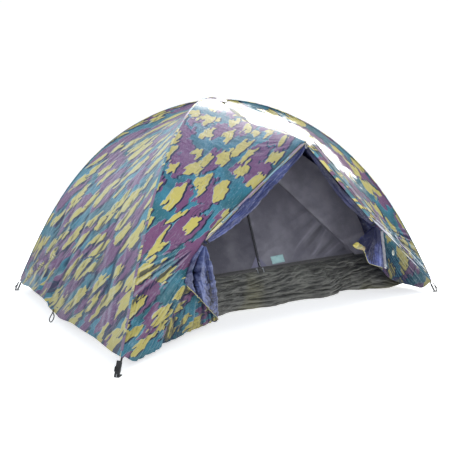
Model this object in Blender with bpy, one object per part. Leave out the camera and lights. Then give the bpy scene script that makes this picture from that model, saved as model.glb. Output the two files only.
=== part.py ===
# Two-person military dome tent: two crossing bent poles and a short ridge pole under a
# camouflage flysheet, with an inner tent hung inside and its front porch open.
# Metres, +Z up. Origin: centre of the rectangle between the four pole feet, on the ground.
# The door faces -Y. "left" is -X and "right" is +X, seen by someone who faces the door.
import bpy
import bmesh
import math
import numpy as np
from mathutils import Vector, Matrix

# ---------------------------------------------------------------- driving dimensions
FOOT_X = 1.10            # half distance between pole feet, left to right
FOOT_Y = 0.881           # half distance between pole feet, front to back
CROWN_Z = 1.2526         # centre line of the upper pole where the poles cross
ROD_R = 0.00425          # main pole radius (8.5 mm rod)
SLEEVE_R = 0.0055        # swaged ferrule, outside
SOCKET_R = 0.0047        # ferrule bore
FERRULE = 0.060          # ferrule length past the rod
POLE_GAP = 0.0098        # the second pole passes this far under the first
SEAM_LIFT = 0.0120       # flysheet seam line above the pole centre line
CLOTH = 0.0010           # cloth thickness in this model
SEAM_INSET = 0.0020      # each panel stops this far from its seam line
HEM_Z = 0.065            # flysheet hem at the corners

PEAK = (0.0, -0.786, 0.943)        # top of the door opening
TIE = (0.625, -0.761, 0.472)       # where each rolled door is tied (x is mirrored)
CORNER = (1.075, -0.872, 0.062)    # lower end of the door edge (x is mirrored)

FLOOR_X = 1.02           # inner tent floor, half width
FLOOR_Y0 = -0.53         # its front edge
FLOOR_Y1 = 0.80          # its back edge
INNER_H = 1.090          # height of the inner tent
TUB_Z = 0.220            # height of the waterproof tub
DOOR_Z0 = 0.232          # lower edge of the inner door
DOOR_Y0 = -0.460         # inner door plane at its lower edge
DOOR_LEAN = 0.449        # the door plane leans back this much per metre of height
DOOR_HALF = 0.80         # half width of the inner door at its lower edge
DOOR_TOP = 0.97          # height where the two side seams of the inner door meet the zip
DOOR_TOP_HALF = 0.055
ZIP_FOOT = -0.046        # the upright zip hangs off centre at its foot and ends on the centre line

ROWS = 16                # rows of facets from the crown to the hem
COLS = 6


# ---------------------------------------------------------------- scene and materials
for o in list(bpy.data.objects):
    bpy.data.objects.remove(o, do_unlink=True)


def material(name, colour, rough, metal=0.0):
    m = bpy.data.materials.new(name)
    m.use_nodes = True
    b = m.node_tree.nodes.get("Principled BSDF")
    b.inputs["Base Color"].default_value = (*colour, 1.0)
    b.inputs["Roughness"].default_value = rough
    b.inputs["Metallic"].default_value = metal
    return m


def face_out(bm):
    """Every face points out of the closed body."""
    bmesh.ops.recalc_face_normals(bm, faces=bm.faces)
    if bm.calc_volume(signed=True) < 0:
        bmesh.ops.reverse_faces(bm, faces=bm.faces)


def new_object(name, verts, faces, mat, smooth=True):
    me = bpy.data.meshes.new(name)
    me.from_pydata([tuple(float(c) for c in v) for v in verts], [], [tuple(int(i) for i in f) for f in faces])
    bm = bmesh.new()
    bm.from_mesh(me)
    face_out(bm)
    bm.to_mesh(me)
    bm.free()
    me.update()
    if smooth:
        me.shade_smooth()
        me.set_sharp_from_angle(angle=math.radians(40))
    ob = bpy.data.objects.new(name, me)
    ob.data.materials.append(material(name, *mat))
    bpy.context.collection.objects.link(ob)
    return ob


def pivot(ob, point):
    """Put the object's origin on its joint, leaving its shape where it is."""
    p = Vector(point)
    ob.data.transform(Matrix.Translation(-p))
    ob.location = p


CAMO = ((0.16, 0.32, 0.36), 0.55)
COATED = ((0.16, 0.16, 0.33), 0.5)
GREY = ((0.10, 0.10, 0.11), 0.7)
TUB = ((0.06, 0.06, 0.05), 0.6)
BLACK = ((0.02, 0.02, 0.02), 0.6)
WEB = ((0.025, 0.025, 0.025), 0.8)
STEEL = ((0.6, 0.6, 0.6), 0.3, 1.0)
ALLOY = ((0.55, 0.56, 0.58), 0.35, 1.0)


# ---------------------------------------------------------------- shapes of the poles
def elliptic(k, n=4001):
    """Arc length and reach of half a pinned bent rod of modulus k, from crown to foot."""
    ph = np.linspace(0.0, math.pi / 2, n)
    root = np.sqrt(1.0 - (k * np.sin(ph)) ** 2)
    step = ph[1] - ph[0]

    def run(f):
        return np.concatenate(([0.0], np.cumsum((f[1:] + f[:-1]) * 0.5 * step)))
    return ph, run(1.0 / root), run(2.0 * root - 1.0 / root)


def bent_rod(rise_over_span):
    """The curve of a straight springy rod pushed together at its ends: (u, s, z).
    u is arc length from the foot (0) to the crown (1), s runs 1 to 0, z runs 0 to 1."""
    lo, hi = 0.05, 0.9
    for _ in range(60):
        k = 0.5 * (lo + hi)
        ph, arc, reach = elliptic(k)
        if k / reach[-1] < rise_over_span:
            lo = k
        else:
            hi = k
    u = 1.0 - arc / arc[-1]
    s = reach / reach[-1]
    z = np.cos(ph)
    return u[::-1], s[::-1], z[::-1]


SPAN = 2.0 * math.hypot(FOOT_X, FOOT_Y)
ROD_U, ROD_S, ROD_Z = bent_rod(CROWN_Z / SPAN)
HALF_POLE = 0.5 * 1.4209 * SPAN


def rod_sz(u, rise):
    return np.interp(u, ROD_U, ROD_S), rise * np.interp(u, ROD_U, ROD_Z)


def pole_point(u, sx, sy, rise, lift=0.0):
    """Point on the half pole that stands at the foot (sx, sy); lift moves it off the centre line."""
    s, z = rod_sz(u, rise)
    s0, z0 = rod_sz(max(u - 0.002, 0.0), rise)
    s1, z1 = rod_sz(min(u + 0.002, 1.0), rise)
    half = 0.5 * SPAN
    d = np.array([half * (s1 - s0), z1 - z0])
    d /= np.linalg.norm(d)
    r, h = half * s, z
    r -= lift * -d[1]
    h += lift * -d[0]
    return np.array([sx * FOOT_X * r / half, sy * FOOT_Y * r / half, h])


RISE = {1: CROWN_Z, 2: CROWN_Z - POLE_GAP}
# foot signs: pole 1 stands front left and back right, pole 2 stands back left and front right
FOOT = {"front_left": (-1, -1, 1), "back_right": (1, 1, 1), "back_left": (-1, 1, 2), "front_right": (1, -1, 2)}


def seam(u, corner):
    sx, sy, which = FOOT[corner]
    lift = SEAM_LIFT + (POLE_GAP if which == 2 else 0.0) * max(0.0, (u - 0.75) / 0.25)
    return pole_point(u, sx, sy, RISE[which], lift)


# ---------------------------------------------------------------- cloth helpers
def resample(points, n):
    p = np.array(points, float)
    d = np.concatenate(([0.0], np.cumsum(np.linalg.norm(np.diff(p, axis=0), axis=1))))
    t = np.linspace(0.0, d[-1], n)
    return np.stack([np.interp(t, d, p[:, c]) for c in range(3)], 1)


def smooth_path(points, n, passes=2):
    """A smooth curve near the given points, ends kept (corner cutting)."""
    p = np.array(points, float)
    for _ in range(passes):
        q = [p[0]]
        for a, b in zip(p[:-1], p[1:]):
            q += [0.75 * a + 0.25 * b, 0.25 * a + 0.75 * b]
        q.append(p[-1])
        p = np.array(q)
    return resample(p, n)


def coons(left, right, top, bottom):
    """Grid between four edges: left and right run down the rows, top and bottom across them."""
    n, m = len(left), len(top)
    g = np.zeros((n, m, 3))
    for i in range(n):
        v = i / (n - 1)
        for j in range(m):
            w = j / (m - 1)
            g[i, j] = ((1 - w) * left[i] + w * right[i] + (1 - v) * top[j] + v * bottom[j]
                       - (1 - w) * (1 - v) * left[0] - w * (1 - v) * right[0]
                       - (1 - w) * v * left[-1] - w * v * right[-1])
    return g


def tighten(g, passes=220, across=1.0):
    """Pull the cloth tight between its fixed edges, like a net."""
    for _ in range(passes):
        a = 0.5 * (g[:-2, 1:-1] + g[2:, 1:-1])
        b = 0.5 * (g[1:-1, :-2] + g[1:-1, 2:])
        g[1:-1, 1:-1] = (a + across * b) / (1.0 + across)
    return g


def inset_columns(g, amount, first=True, last=True):
    """Pull the first and last column in from the seam by a fixed distance."""
    g = g.copy()
    if first:
        d = g[:, 1] - g[:, 0]
        g[:, 0] += d / np.linalg.norm(d, axis=1)[:, None] * amount
    if last:
        d = g[:, -2] - g[:, -1]
        g[:, -1] += d / np.linalg.norm(d, axis=1)[:, None] * amount
    return g


def grid_normals(g):
    du = np.gradient(g, axis=0)
    dv = np.gradient(g, axis=1)
    n = np.cross(du, dv)
    return n / np.maximum(np.linalg.norm(n, axis=2), 1e-9)[..., None]


def sheet(name, g, mat, thickness=CLOTH):
    """A closed sheet of even thickness around a grid of points."""
    n, m = g.shape[:2]
    nr = grid_normals(g)
    a = (g + nr * thickness / 2).reshape(-1, 3)
    b = (g - nr * thickness / 2).reshape(-1, 3)
    off = n * m
    faces = []
    for i in range(n - 1):
        for j in range(m - 1):
            p = i * m + j
            faces.append((p, p + 1, p + m + 1, p + m))
            faces.append((off + p, off + p + m, off + p + m + 1, off + p + 1))
    ring = [j for j in range(m)] + [i * m + m - 1 for i in range(1, n)] + \
           [(n - 1) * m + j for j in range(m - 2, -1, -1)] + [i * m for i in range(n - 2, 0, -1)]
    for p, q in zip(ring, ring[1:] + ring[:1]):
        faces.append((q, p, off + p, off + q))
    return new_object(name, np.concatenate([a, b]), faces, mat)


def frames(path):
    """Steady cross directions along a path, so that a tube round it doesn't twist."""
    p = np.array(path, float)
    t = np.gradient(p, axis=0)
    t /= np.linalg.norm(t, axis=1)[:, None]
    ref = np.array([0.0, 0.0, 1.0]) if abs(t[0][2]) < 0.9 else np.array([0.0, 1.0, 0.0])
    a = np.cross(t[0], ref)
    a /= np.linalg.norm(a)
    out = []
    for k in range(len(p)):
        a = a - t[k] * np.dot(a, t[k])
        a /= np.linalg.norm(a)
        out.append((a.copy(), np.cross(t[k], a)))
    return out


def tube(name, path, radii, mat, sides=8, squash=1.0):
    """A closed round bar along a path, with its own radius at each point."""
    fr = frames(path)
    verts, faces = [], []
    for p, r, (a, b) in zip(path, radii, fr):
        for k in range(sides):
            w = 2 * math.pi * k / sides
            verts.append(np.array(p) + r * (math.cos(w) * a + squash * math.sin(w) * b))
    rings = len(path)
    for i in range(rings - 1):
        for k in range(sides):
            q = (k + 1) % sides
            faces.append((i * sides + k, i * sides + q, (i + 1) * sides + q, (i + 1) * sides + k))
    faces.append(tuple(range(sides - 1, -1, -1)))
    faces.append(tuple((rings - 1) * sides + k for k in range(sides)))
    return new_object(name, verts, faces, mat)


def loop_band(name, outline, normal, width, thickness, mat):
    """A closed band of webbing: outline is its inner line, seen along normal."""
    p = np.array(outline, float)
    n = np.array(normal, float)
    n /= np.linalg.norm(n)
    c = p.mean(axis=0)
    k = len(p)
    nxt, prv = np.roll(p, -1, axis=0), np.roll(p, 1, axis=0)
    t = nxt - prv
    o = np.cross(t, n)
    o /= np.linalg.norm(o, axis=1)[:, None]
    o *= np.sign(np.sum(o * (p - c), axis=1))[:, None]
    q = p + o * thickness
    verts = np.concatenate([p - n * width / 2, p + n * width / 2, q + n * width / 2, q - n * width / 2])
    faces = []
    for i in range(k):
        j = (i + 1) % k
        for r in range(4):
            s = (r + 1) % 4
            faces.append((r * k + i, r * k + j, s * k + j, s * k + i))
    return new_object(name, verts, faces, mat)


def slab(name, centre, size, axes, mat, bevel=0.0):
    """A block with its own axes, edges bevelled."""
    x, y, z = [np.array(a, float) / np.linalg.norm(a) for a in axes]
    bm = bmesh.new()
    bmesh.ops.create_cube(bm, size=1.0)
    for v in bm.verts:
        q = np.array(centre) + x * v.co.x * size[0] + y * v.co.y * size[1] + z * v.co.z * size[2]
        v.co = Vector(q)
    if bevel:
        bmesh.ops.bevel(bm, geom=bm.edges[:], offset=bevel, segments=1, affect="EDGES")
    face_out(bm)
    me = bpy.data.meshes.new(name)
    bm.to_mesh(me)
    bm.free()
    ob = bpy.data.objects.new(name, me)
    me.materials.append(material(name, *mat))
    bpy.context.collection.objects.link(ob)
    return ob


def ring(name, centre, axis, ri, ro, height, mat, sides=14):
    """A flat ring (eyelet, pull ring) round an axis."""
    ax = np.array(axis, float)
    ax /= np.linalg.norm(ax)
    ref = np.array([1.0, 0, 0]) if abs(ax[0]) < 0.9 else np.array([0, 1.0, 0])
    a = np.cross(ax, ref)
    a /= np.linalg.norm(a)
    b = np.cross(ax, a)
    prof = [(ri, -height / 2), (ro, -height / 2), (ro, height / 2), (ri, height / 2)]
    verts, faces = [], []
    for k in range(sides):
        w = 2 * math.pi * k / sides
        d = math.cos(w) * a + math.sin(w) * b
        for r, h in prof:
            verts.append(np.array(centre) + d * r + ax * h)
    for k in range(sides):
        q = (k + 1) % sides
        for r in range(4):
            s = (r + 1) % 4
            faces.append((k * 4 + r, q * 4 + r, q * 4 + s, k * 4 + s))
    return new_object(name, verts, faces, mat)


# ---------------------------------------------------------------- poles
TIP_TOP = 0.026           # u on the pole where the tip ends and the first rod starts


def pole_section(name, points, socket, sides=8):
    """A rod along the points. With a socket, its far end carries a ferrule that the next rod plugs into."""
    pts = [np.array(p) for p in points]
    fr = frames(pts)
    verts, faces = [], []

    def add(p, r, f):
        base = len(verts)
        for k in range(sides):
            w = 2 * math.pi * (k + 0.5) / sides
            verts.append(p + r * (math.cos(w) * f[0] + math.sin(w) * f[1]))
        return base
    rings = [add(p, ROD_R, f) for p, f in zip(pts, fr)]
    if socket:
        end, f = pts[-1], fr[-1]
        t = np.cross(f[0], f[1])
        # socket = points of the sleeve past the rod's end, on the next rod's own curve
        fr2 = frames([end - t * 0.02] + list(socket))[1:]
        fr2 = []
        a = f[0]
        sp = [end] + list(socket)
        for q in range(len(sp)):
            tt = sp[min(q + 1, len(sp) - 1)] - sp[max(q - 1, 0)]
            tt = tt / np.linalg.norm(tt)
            a = a - tt * np.dot(a, tt)
            a = a / np.linalg.norm(a)
            fr2.append((a.copy(), np.cross(tt, a)))
        lead = end - t * 0.020
        rings[-1:] = [add(lead, ROD_R, f), add(lead + t * 0.0006, SLEEVE_R, f)]
        for p, g in zip(sp[1:], fr2[1:]):
            rings.append(add(p, SLEEVE_R, g))
        for p, g in zip(sp[:0:-1], fr2[:0:-1]):
            rings.append(add(p, SOCKET_R, g))
        rings.append(add(end + t * 0.0004, SOCKET_R, f))
    for a, b in zip(rings[:-1], rings[1:]):
        for k in range(sides):
            q = (k + 1) % sides
            faces.append((a + k, a + q, b + q, b + k))
    faces.append(tuple(rings[0] + k for k in range(sides - 1, -1, -1)))
    faces.append(tuple(rings[-1] + k for k in range(sides)))
    return new_object(name, verts, faces, ALLOY)


def main_pole(which, corners, label):
    """Four plugged sections over the crown, from one foot to the other."""
    def at(t):
        if t <= 1.0:
            sx, sy, _ = FOOT[corners[0]]
            return pole_point(t, sx, sy, RISE[which])
        sx, sy, _ = FOOT[corners[1]]
        return pole_point(2.0 - t, sx, sy, RISE[which])
    cuts = [TIP_TOP, 0.46, 0.93, 1.47, 2.0 - TIP_TOP]
    plug = 0.0015 / HALF_POLE
    half, full = 0.5 * FERRULE / HALF_POLE, FERRULE / HALF_POLE
    for i in range(4):
        t0, t1 = cuts[i], cuts[i + 1]
        ts = [t0] + list(np.linspace(t0 + 0.02, t1, 9))
        if i:
            ts = [t0 + plug, t0 + half, t0 + full] + list(np.linspace(t0 + full + 0.03, t1, 8))
        sock = None if i == 3 else [at(t1 + f) for f in (half, full)]
        pole_section("%s_section_%d" % (label, i + 1), [at(t) for t in ts], sock)


main_pole(1, ("front_left", "back_right"), "pole_one")
main_pole(2, ("back_left", "front_right"), "pole_two")


# ---------------------------------------------------------------- flysheet
U_TOP, U_BOT = 0.981, 0.036
US = U_TOP + (U_BOT - U_TOP) * (np.linspace(0, 1, ROWS + 1) ** 0.93)

RIDGE = [(0.000, 1.262), (0.050, 1.244), (0.100, 1.206), (0.150, 1.160), (0.200, 1.125), (0.280, 1.092),
         (0.400, 1.059), (0.530, 1.022), (0.620, 0.997), (0.700, 0.975), (0.786, 0.943)]


def ridge_z(y):
    """Height of the crease from the crown to the peak, y metres in front of the crown."""
    a = np.array(RIDGE)
    return float(np.mean([np.interp(abs(y) + d, a[:, 0], a[:, 1]) for d in (-0.02, 0.0, 0.02)]))


RIDGE_ROW = 4                              # row of the rear panel that the ridge pole's end holds up
RIDGE_POCKET = (0.0, 0.400, 1.092)


def mirror(p, sx):
    return np.array([p[0] * sx, p[1], p[2]])


def side_panel(sx):
    f, b = ("front_left", "back_left") if sx < 0 else ("front_right", "back_right")
    left = np.array([seam(u, f) for u in US])
    right = np.array([seam(u, b) for u in US])
    m = 8
    w = np.linspace(0, 1, m + 1)
    top = left[0] + (right[0] - left[0]) * w[:, None]
    hem = smooth_path([left[-1], (sx * 1.090, -0.45, 0.074), (sx * 1.112, -0.02, 0.072),
                       (sx * 1.090, 0.45, 0.078), right[-1]], m + 1)
    g = tighten(coons(left, right, top, hem))
    return g


def front_panel(sx):
    f = "front_left" if sx < 0 else "front_right"
    left = np.array([seam(u, f) for u in US])
    k_peak, k_tie = 5, 9
    y0 = 0.040
    edge = [np.array([0.0, -y, ridge_z(y)]) for y in np.linspace(y0, 0.786, k_peak + 1)]
    tie, low = mirror(TIE, sx), mirror(CORNER, sx)
    for q in range(1, k_tie - k_peak + 1):
        edge.append(np.array(PEAK) + (tie - np.array(PEAK)) * q / (k_tie - k_peak))
    for q in range(1, ROWS - k_tie + 1):
        edge.append(tie + (low - tie) * q / (ROWS - k_tie))
    edge = np.array(edge)
    w = np.linspace(0, 1, COLS + 1)
    top = left[0] + (edge[0] - left[0]) * w[:, None]
    bot = left[-1] + (edge[-1] - left[-1]) * w[:, None]
    return tighten(coons(left, edge, top, bot))


def rear_panel():
    left = np.array([seam(u, "back_left") for u in US])
    right = np.array([seam(u, "back_right") for u in US])
    m = 8
    w = np.linspace(0, 1, m + 1)
    top = left[0] + (right[0] - left[0]) * w[:, None]
    hem = smooth_path([left[-1], (-0.5, 0.878, 0.070), (0.0, 0.888, 0.066), (0.5, 0.878, 0.070), right[-1]], m + 1)
    g = coons(left, right, top, hem)
    for _ in range(220):
        g = tighten(g, 1)
        g[RIDGE_ROW, m // 2] = RIDGE_POCKET
    return g


REAR = rear_panel()
sheet("fly_side_left", inset_columns(side_panel(-1), SEAM_INSET), CAMO)
sheet("fly_side_right", inset_columns(side_panel(1), SEAM_INSET), CAMO)
sheet("fly_front_left", inset_columns(front_panel(-1), SEAM_INSET), CAMO)
sheet("fly_front_right", inset_columns(front_panel(1), SEAM_INSET), CAMO)
sheet("fly_rear", inset_columns(REAR, SEAM_INSET), CAMO)


def crown_patch():
    """Round reinforcement over the crossing; it dips to the front, where the ridge starts."""
    rings, sides = 3, 16
    g = np.zeros((rings + 1, sides + 1, 3))
    for i in range(rings + 1):
        r = 0.004 + (0.066 - 0.004) * i / rings
        for j in range(sides + 1):
            w = 2 * math.pi * j / sides
            dip = max(0.0, -math.sin(w)) ** 3
            z = 1.2690 - 0.6 * r * r - dip * 3.4 * r * r
            g[i, j] = (r * math.cos(w), r * math.sin(w), z)
    n, m = rings + 1, sides
    verts, faces = [], []
    for side in (0.0, -CLOTH):
        for i in range(n):
            for j in range(m):
                verts.append(g[i, j] + np.array([0, 0, side]))
    off = n * m
    for i in range(n - 1):
        for j in range(m):
            q = (j + 1) % m
            faces.append((i * m + j, i * m + q, (i + 1) * m + q, (i + 1) * m + j))
            faces.append((off + i * m + j, off + (i + 1) * m + j, off + (i + 1) * m + q, off + i * m + q))
    faces.append(tuple(range(m)))
    faces.append(tuple(off + j for j in range(m - 1, -1, -1)))
    for j in range(m):
        q = (j + 1) % m
        faces.append(((n - 1) * m + j, (n - 1) * m + q, off + (n - 1) * m + q, off + (n - 1) * m + j))
    return new_object("fly_crown_patch", verts, faces, CAMO)


crown_patch()


# ---------------------------------------------------------------- ridge pole and its strap
RIDGE_ROD = smooth_path([(0, -0.772, PEAK[2] - 0.022), (0, -0.66, 0.968), (0, -0.53, 1.005), (0, -0.28, 1.072),
                         (0, 0.0, 1.118), (0, 0.20, 1.108), (0, 0.385, 1.072)], 200, 3)


def ridge_part(a, b, n):
    i = np.linspace(a * 199, b * 199, n)
    return [np.array([np.interp(q, np.arange(200), RIDGE_ROD[:, c]) for c in range(3)]) for q in i]


RIDGE_LEN = float(np.sum(np.linalg.norm(np.diff(RIDGE_ROD, axis=0), axis=1)))
rf = FERRULE / RIDGE_LEN
rp = 0.0015 / RIDGE_LEN
cut_a, cut_b = 0.34, 0.72
pole_section("ridge_pole_front", ridge_part(0.010, cut_a, 7), ridge_part(cut_a + rf / 2, cut_a + rf, 2))
pole_section("ridge_pole_middle", ridge_part(cut_a + rp, cut_a + rf / 2, 2) + ridge_part(cut_a + rf, cut_b, 7),
             ridge_part(cut_b + rf / 2, cut_b + rf, 2))
pole_section("ridge_pole_rear", ridge_part(cut_b + rp, cut_b + rf / 2, 2) + ridge_part(cut_b + rf, 1.0, 6), None)

zr = float(np.interp(0.0, RIDGE_ROD[:, 1], RIDGE_ROD[:, 2]))
band = [(-0.0075, 0, zr - 0.0035), (-0.0040, 0, zr - 0.0062), (0.0040, 0, zr - 0.0062), (0.0075, 0, zr - 0.0035),
        (0.0225, 0, 1.2300), (0.0225, 0, 1.2530), (0.0170, 0, 1.2588), (-0.0170, 0, 1.2588),
        (-0.0225, 0, 1.2530), (-0.0225, 0, 1.2300)]
loop_band("crossing_strap", band, (0, 1, 0), 0.018, 0.0015, WEB)

# cap on the front end of the ridge pole, in a pocket just under the peak
cap0 = np.array(ridge_part(0.0, 0.01, 2))
cdir = (cap0[0] - cap0[1]) / np.linalg.norm(cap0[0] - cap0[1])
tube("ridge_pole_cap", [cap0[1] + cdir * 0.0005, cap0[1] + cdir * 0.010, cap0[1] + cdir * 0.0125],
     [0.0058, 0.0058, 0.0040], BLACK, 10)


# ---------------------------------------------------------------- corners: tip, eyelet, webbing tab
def corner(label, sx, sy, which):
    e = np.array([sx * FOOT_X, sy * FOOT_Y, 0.0])
    e /= np.linalg.norm(e)
    f = np.array([-e[1], e[0], 0.0])
    zz = np.array([0, 0, 1.0])
    base = pole_point(0.0, sx, sy, RISE[which])
    top = pole_point(TIP_TOP, sx, sy, RISE[which])
    axis = (top - base) / np.linalg.norm(top - base)
    # plastic tip: shoulder above the eyelet, nose through it, body up to the rod
    nose = base + e * 0.0
    path = [nose + zz * 0.0004, nose + zz * 0.0045, nose + zz * 0.0058, nose + axis * 0.016, top - axis * 0.0004]
    tube("pole_tip_%s" % label, path, [0.0026, 0.0030, 0.0050, 0.0056, 0.0056], BLACK, 10)
    ring("eyelet_%s" % label, base + zz * 0.00125, (0, 0, 1), 0.0040, 0.0078, 0.0022, STEEL, 14)
    # webbing tab: flat under the tip, then up the outside of the pole to the hem
    t = 0.0016
    w = 0.011
    prof = [(-0.012, 0.00045), (0.0165, 0.00045), (0.0180, 0.0020), (-0.0090, 0.0585), (-0.0106, 0.0580),
            (0.0155, 0.0027), (0.0145, 0.00045 + t), (-0.012, 0.00045 + t)]
    verts = []
    for side in (-1, 1):
        for r, h in prof:
            verts.append(base + e * r + zz * h + f * side * w)
    k = len(prof)
    faces = [tuple(range(k)), tuple(range(2 * k - 1, k - 1, -1))]
    for i in range(k):
        j = (i + 1) % k
        faces.append((i, j, k + j, k + i))
    tab = new_object("corner_tab_%s" % label, verts, faces, WEB, smooth=False)
    bm = bmesh.new()
    bmesh.ops.create_cone(bm, cap_ends=True, segments=16, radius1=0.0083, radius2=0.0083, depth=0.006)
    bmesh.ops.translate(bm, verts=bm.verts, vec=Vector(base + zz * 0.0012))
    me = bpy.data.meshes.new("cut_" + label)
    bm.to_mesh(me)
    bm.free()
    cut = bpy.data.objects.new("cut_" + label, me)
    bpy.context.collection.objects.link(cut)
    cut.hide_render = True
    cut.display_type = "WIRE"
    b = tab.modifiers.new("eyelet hole", "BOOLEAN")
    b.operation = "DIFFERENCE"
    b.solver = "EXACT"
    b.object = cut


for label, (sx, sy, which) in FOOT.items():
    corner(label, sx, sy, which)


# ---------------------------------------------------------------- outer door, tied open
def roll(name, sx, fat, drop):
    """The upper part of a door, rolled along the opening's edge from the peak to the tie."""
    p0, p1 = np.array(PEAK), mirror(TIE, sx)
    path, radii = [], []
    n = 14
    d = (p1 - p0) / np.linalg.norm(p1 - p0)
    down = np.cross(d, np.array([0, 1.0, 0]))
    down *= -np.sign(down[2])
    for i in range(n + 1):
        t = 0.035 + (0.992 - 0.035) * i / n
        r = 0.0065 + fat * math.sin(math.pi * min(t / 0.97, 1.0)) ** 0.9
        path.append(p0 + (p1 - p0) * t + down * (max(r, 0.0085) + 0.0060 + drop * math.sin(math.pi * t)) + np.array([0, 0.006, 0]))
        radii.append(r)
    return tube(name, path, radii, COATED, 10)


roll("door_roll_left", -1, 0.024, 0.004)
roll("door_roll_right", 1, 0.017, 0.012)


def fan(name, sx, hem, hinge_cols):
    """The lower part of a tied door. It hangs from the tie: its first column is on the door edge,
    it runs to the fold, and there it turns back outwards to its free edge."""
    tie = mirror(TIE, sx)
    pts = [mirror(p, sx) for p in hem]
    n = 6
    line = resample(pts, 17)
    axis = (mirror(CORNER, sx) - tie)
    axis /= np.linalg.norm(axis)
    start = tie + axis * 0.016
    g = np.zeros((n + 1, len(line), 3))
    low = mirror(CORNER, sx) + np.array([-sx * 0.0045, 0.0005, -0.0075])
    for j, p in enumerate(line):
        w = j / (len(line) - 1)
        if j == 0:
            p = low
        top = start + np.array([-sx * 0.010 * w, -0.004 * math.sin(math.pi * w) + 0.010 * w * (1 - w), -0.004 * w])
        for i in range(n + 1):
            v = i / n
            q = top + (p - top) * v
            q = q + np.array([0, 0, -1.0]) * 0.014 * math.sin(math.pi * v) * w
            g[i, j] = q
    g[:, 0] += np.array([-sx * 0.0010, 0.0, -0.0010])
    return sheet(name, g, CAMO)


HEM_LEFT = [(1.070, -0.872, 0.052), (1.010, -0.838, 0.024), (0.900, -0.775, 0.022), (0.780, -0.715, 0.024), (0.660, -0.665, 0.028),
            (0.550, -0.622, 0.026), (0.458, -0.590, 0.024), (0.446, -0.612, 0.030), (0.520, -0.690, 0.120),
            (0.600, -0.745, 0.195), (0.690, -0.790, 0.270), (0.752, -0.812, 0.330)]
HEM_RIGHT = [(1.070, -0.872, 0.052), (1.020, -0.835, 0.032), (0.930, -0.800, 0.055), (0.820, -0.775, 0.095),
             (0.710, -0.755, 0.170), (0.600, -0.742, 0.255), (0.525, -0.735, 0.322), (0.505, -0.752, 0.322),
             (0.530, -0.785, 0.258), (0.585, -0.808, 0.218), (0.680, -0.808, 0.192)]
fl = fan("front_flap_left", -1, HEM_LEFT, 6)
fr_ = fan("front_flap_right", 1, HEM_RIGHT, 6)


def tie_band(name, sx):
    tie = mirror(TIE, sx)
    d = tie - np.array(PEAK)
    d /= np.linalg.norm(d)
    a = np.cross(d, np.array([0, 1.0, 0]))
    a /= np.linalg.norm(a)
    if a[2] > 0:
        a = -a
    b = np.cross(d, a)
    c = tie + a * 0.0145 - d * 0.014 + np.array([0, 0.006, 0])
    out = []
    for k in range(12):
        w = 2 * math.pi * k / 12
        out.append(c + a * 0.0110 * math.cos(w) + b * 0.0110 * math.sin(w))
    return loop_band(name, out, d, 0.010, 0.0015, WEB)


tie_band("door_tie_left", -1)
tie_band("door_tie_right", 1)


def storm_flap():
    """Narrow strip over the right side of the door's zip, from the peak to below the tie."""
    p0, p1 = np.array(PEAK), mirror(TIE, 1)
    g = np.zeros((9, 3, 3))
    d = (p1 - p0) / np.linalg.norm(p1 - p0)
    up = np.cross(np.array([0, 1.0, 0]), d)
    up *= np.sign(up[2])
    for i in range(9):
        t = 0.05 + 0.87 * i / 8
        for j in range(3):
            g[i, j] = p0 + (p1 - p0) * t + up * (-0.002 + 0.011 * j) + np.array([0, -0.010 + 0.0010 * j, 0.0])
    return sheet("storm_flap", g, CAMO)


storm_flap()

# zip tape down the free edge of the right flap, with its slider and ring pull
TAPE_TOP = np.array([TIE[0] + 0.016, -0.790, 0.425])
TAPE_END = np.array([0.6580, -0.8090, 0.199])
tdir = (TAPE_END - TAPE_TOP) / np.linalg.norm(TAPE_END - TAPE_TOP)
tside = np.cross(tdir, np.array([0, -1.0, 0]))
tside /= np.linalg.norm(tside)
tn = np.cross(tside, tdir)
if tn[1] > 0:
    tn = -tn
g = np.zeros((7, 2, 3))
for i in range(7):
    v = i / 6
    c = TAPE_TOP + (TAPE_END - TAPE_TOP) * v + tn * 0.006
    g[i, 0] = c - tside * 0.0075
    g[i, 1] = c + tside * 0.0075
sheet("door_zip_tape", g, GREY, 0.0012)
SLIDER = TAPE_END - tdir * 0.020 + tn * 0.0095
slab("door_zip_slider", SLIDER, (0.008, 0.0045, 0.011), (tside, tn, tdir), STEEL)
PULL_PIVOT = SLIDER + tn * 0.0040
ring_c = PULL_PIVOT + tn * 0.0012 + np.array([0, 0, -0.0120])
p = ring("door_zip_pull", ring_c, tn * 0.9 + np.array([0, 0, 0.0]), 0.0075, 0.0100, 0.0022, STEEL, 16)
pivot(p, PULL_PIVOT)


# ---------------------------------------------------------------- inner tent
def inner_s(z):
    """Inner tent profile: 1 at the floor, falling to 0 at its top."""
    return float(np.interp(z / INNER_H, ROD_Z, ROD_S))


def front_y(z):
    return DOOR_Y0 + DOOR_LEAN * (z - DOOR_Z0)


def door_half(z):
    return DOOR_HALF + (DOOR_TOP_HALF - DOOR_HALF) * (z - DOOR_Z0) / (DOOR_TOP - DOOR_Z0)


INNER_TOP = INNER_H * 0.9965
WALL_Z = TUB_Z + 0.004


def seam_pt(z, sx, back):
    s = inner_s(z)
    return np.array([sx * FLOOR_X * s, (FLOOR_Y1 if back else FLOOR_Y0) * s, z])


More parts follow.
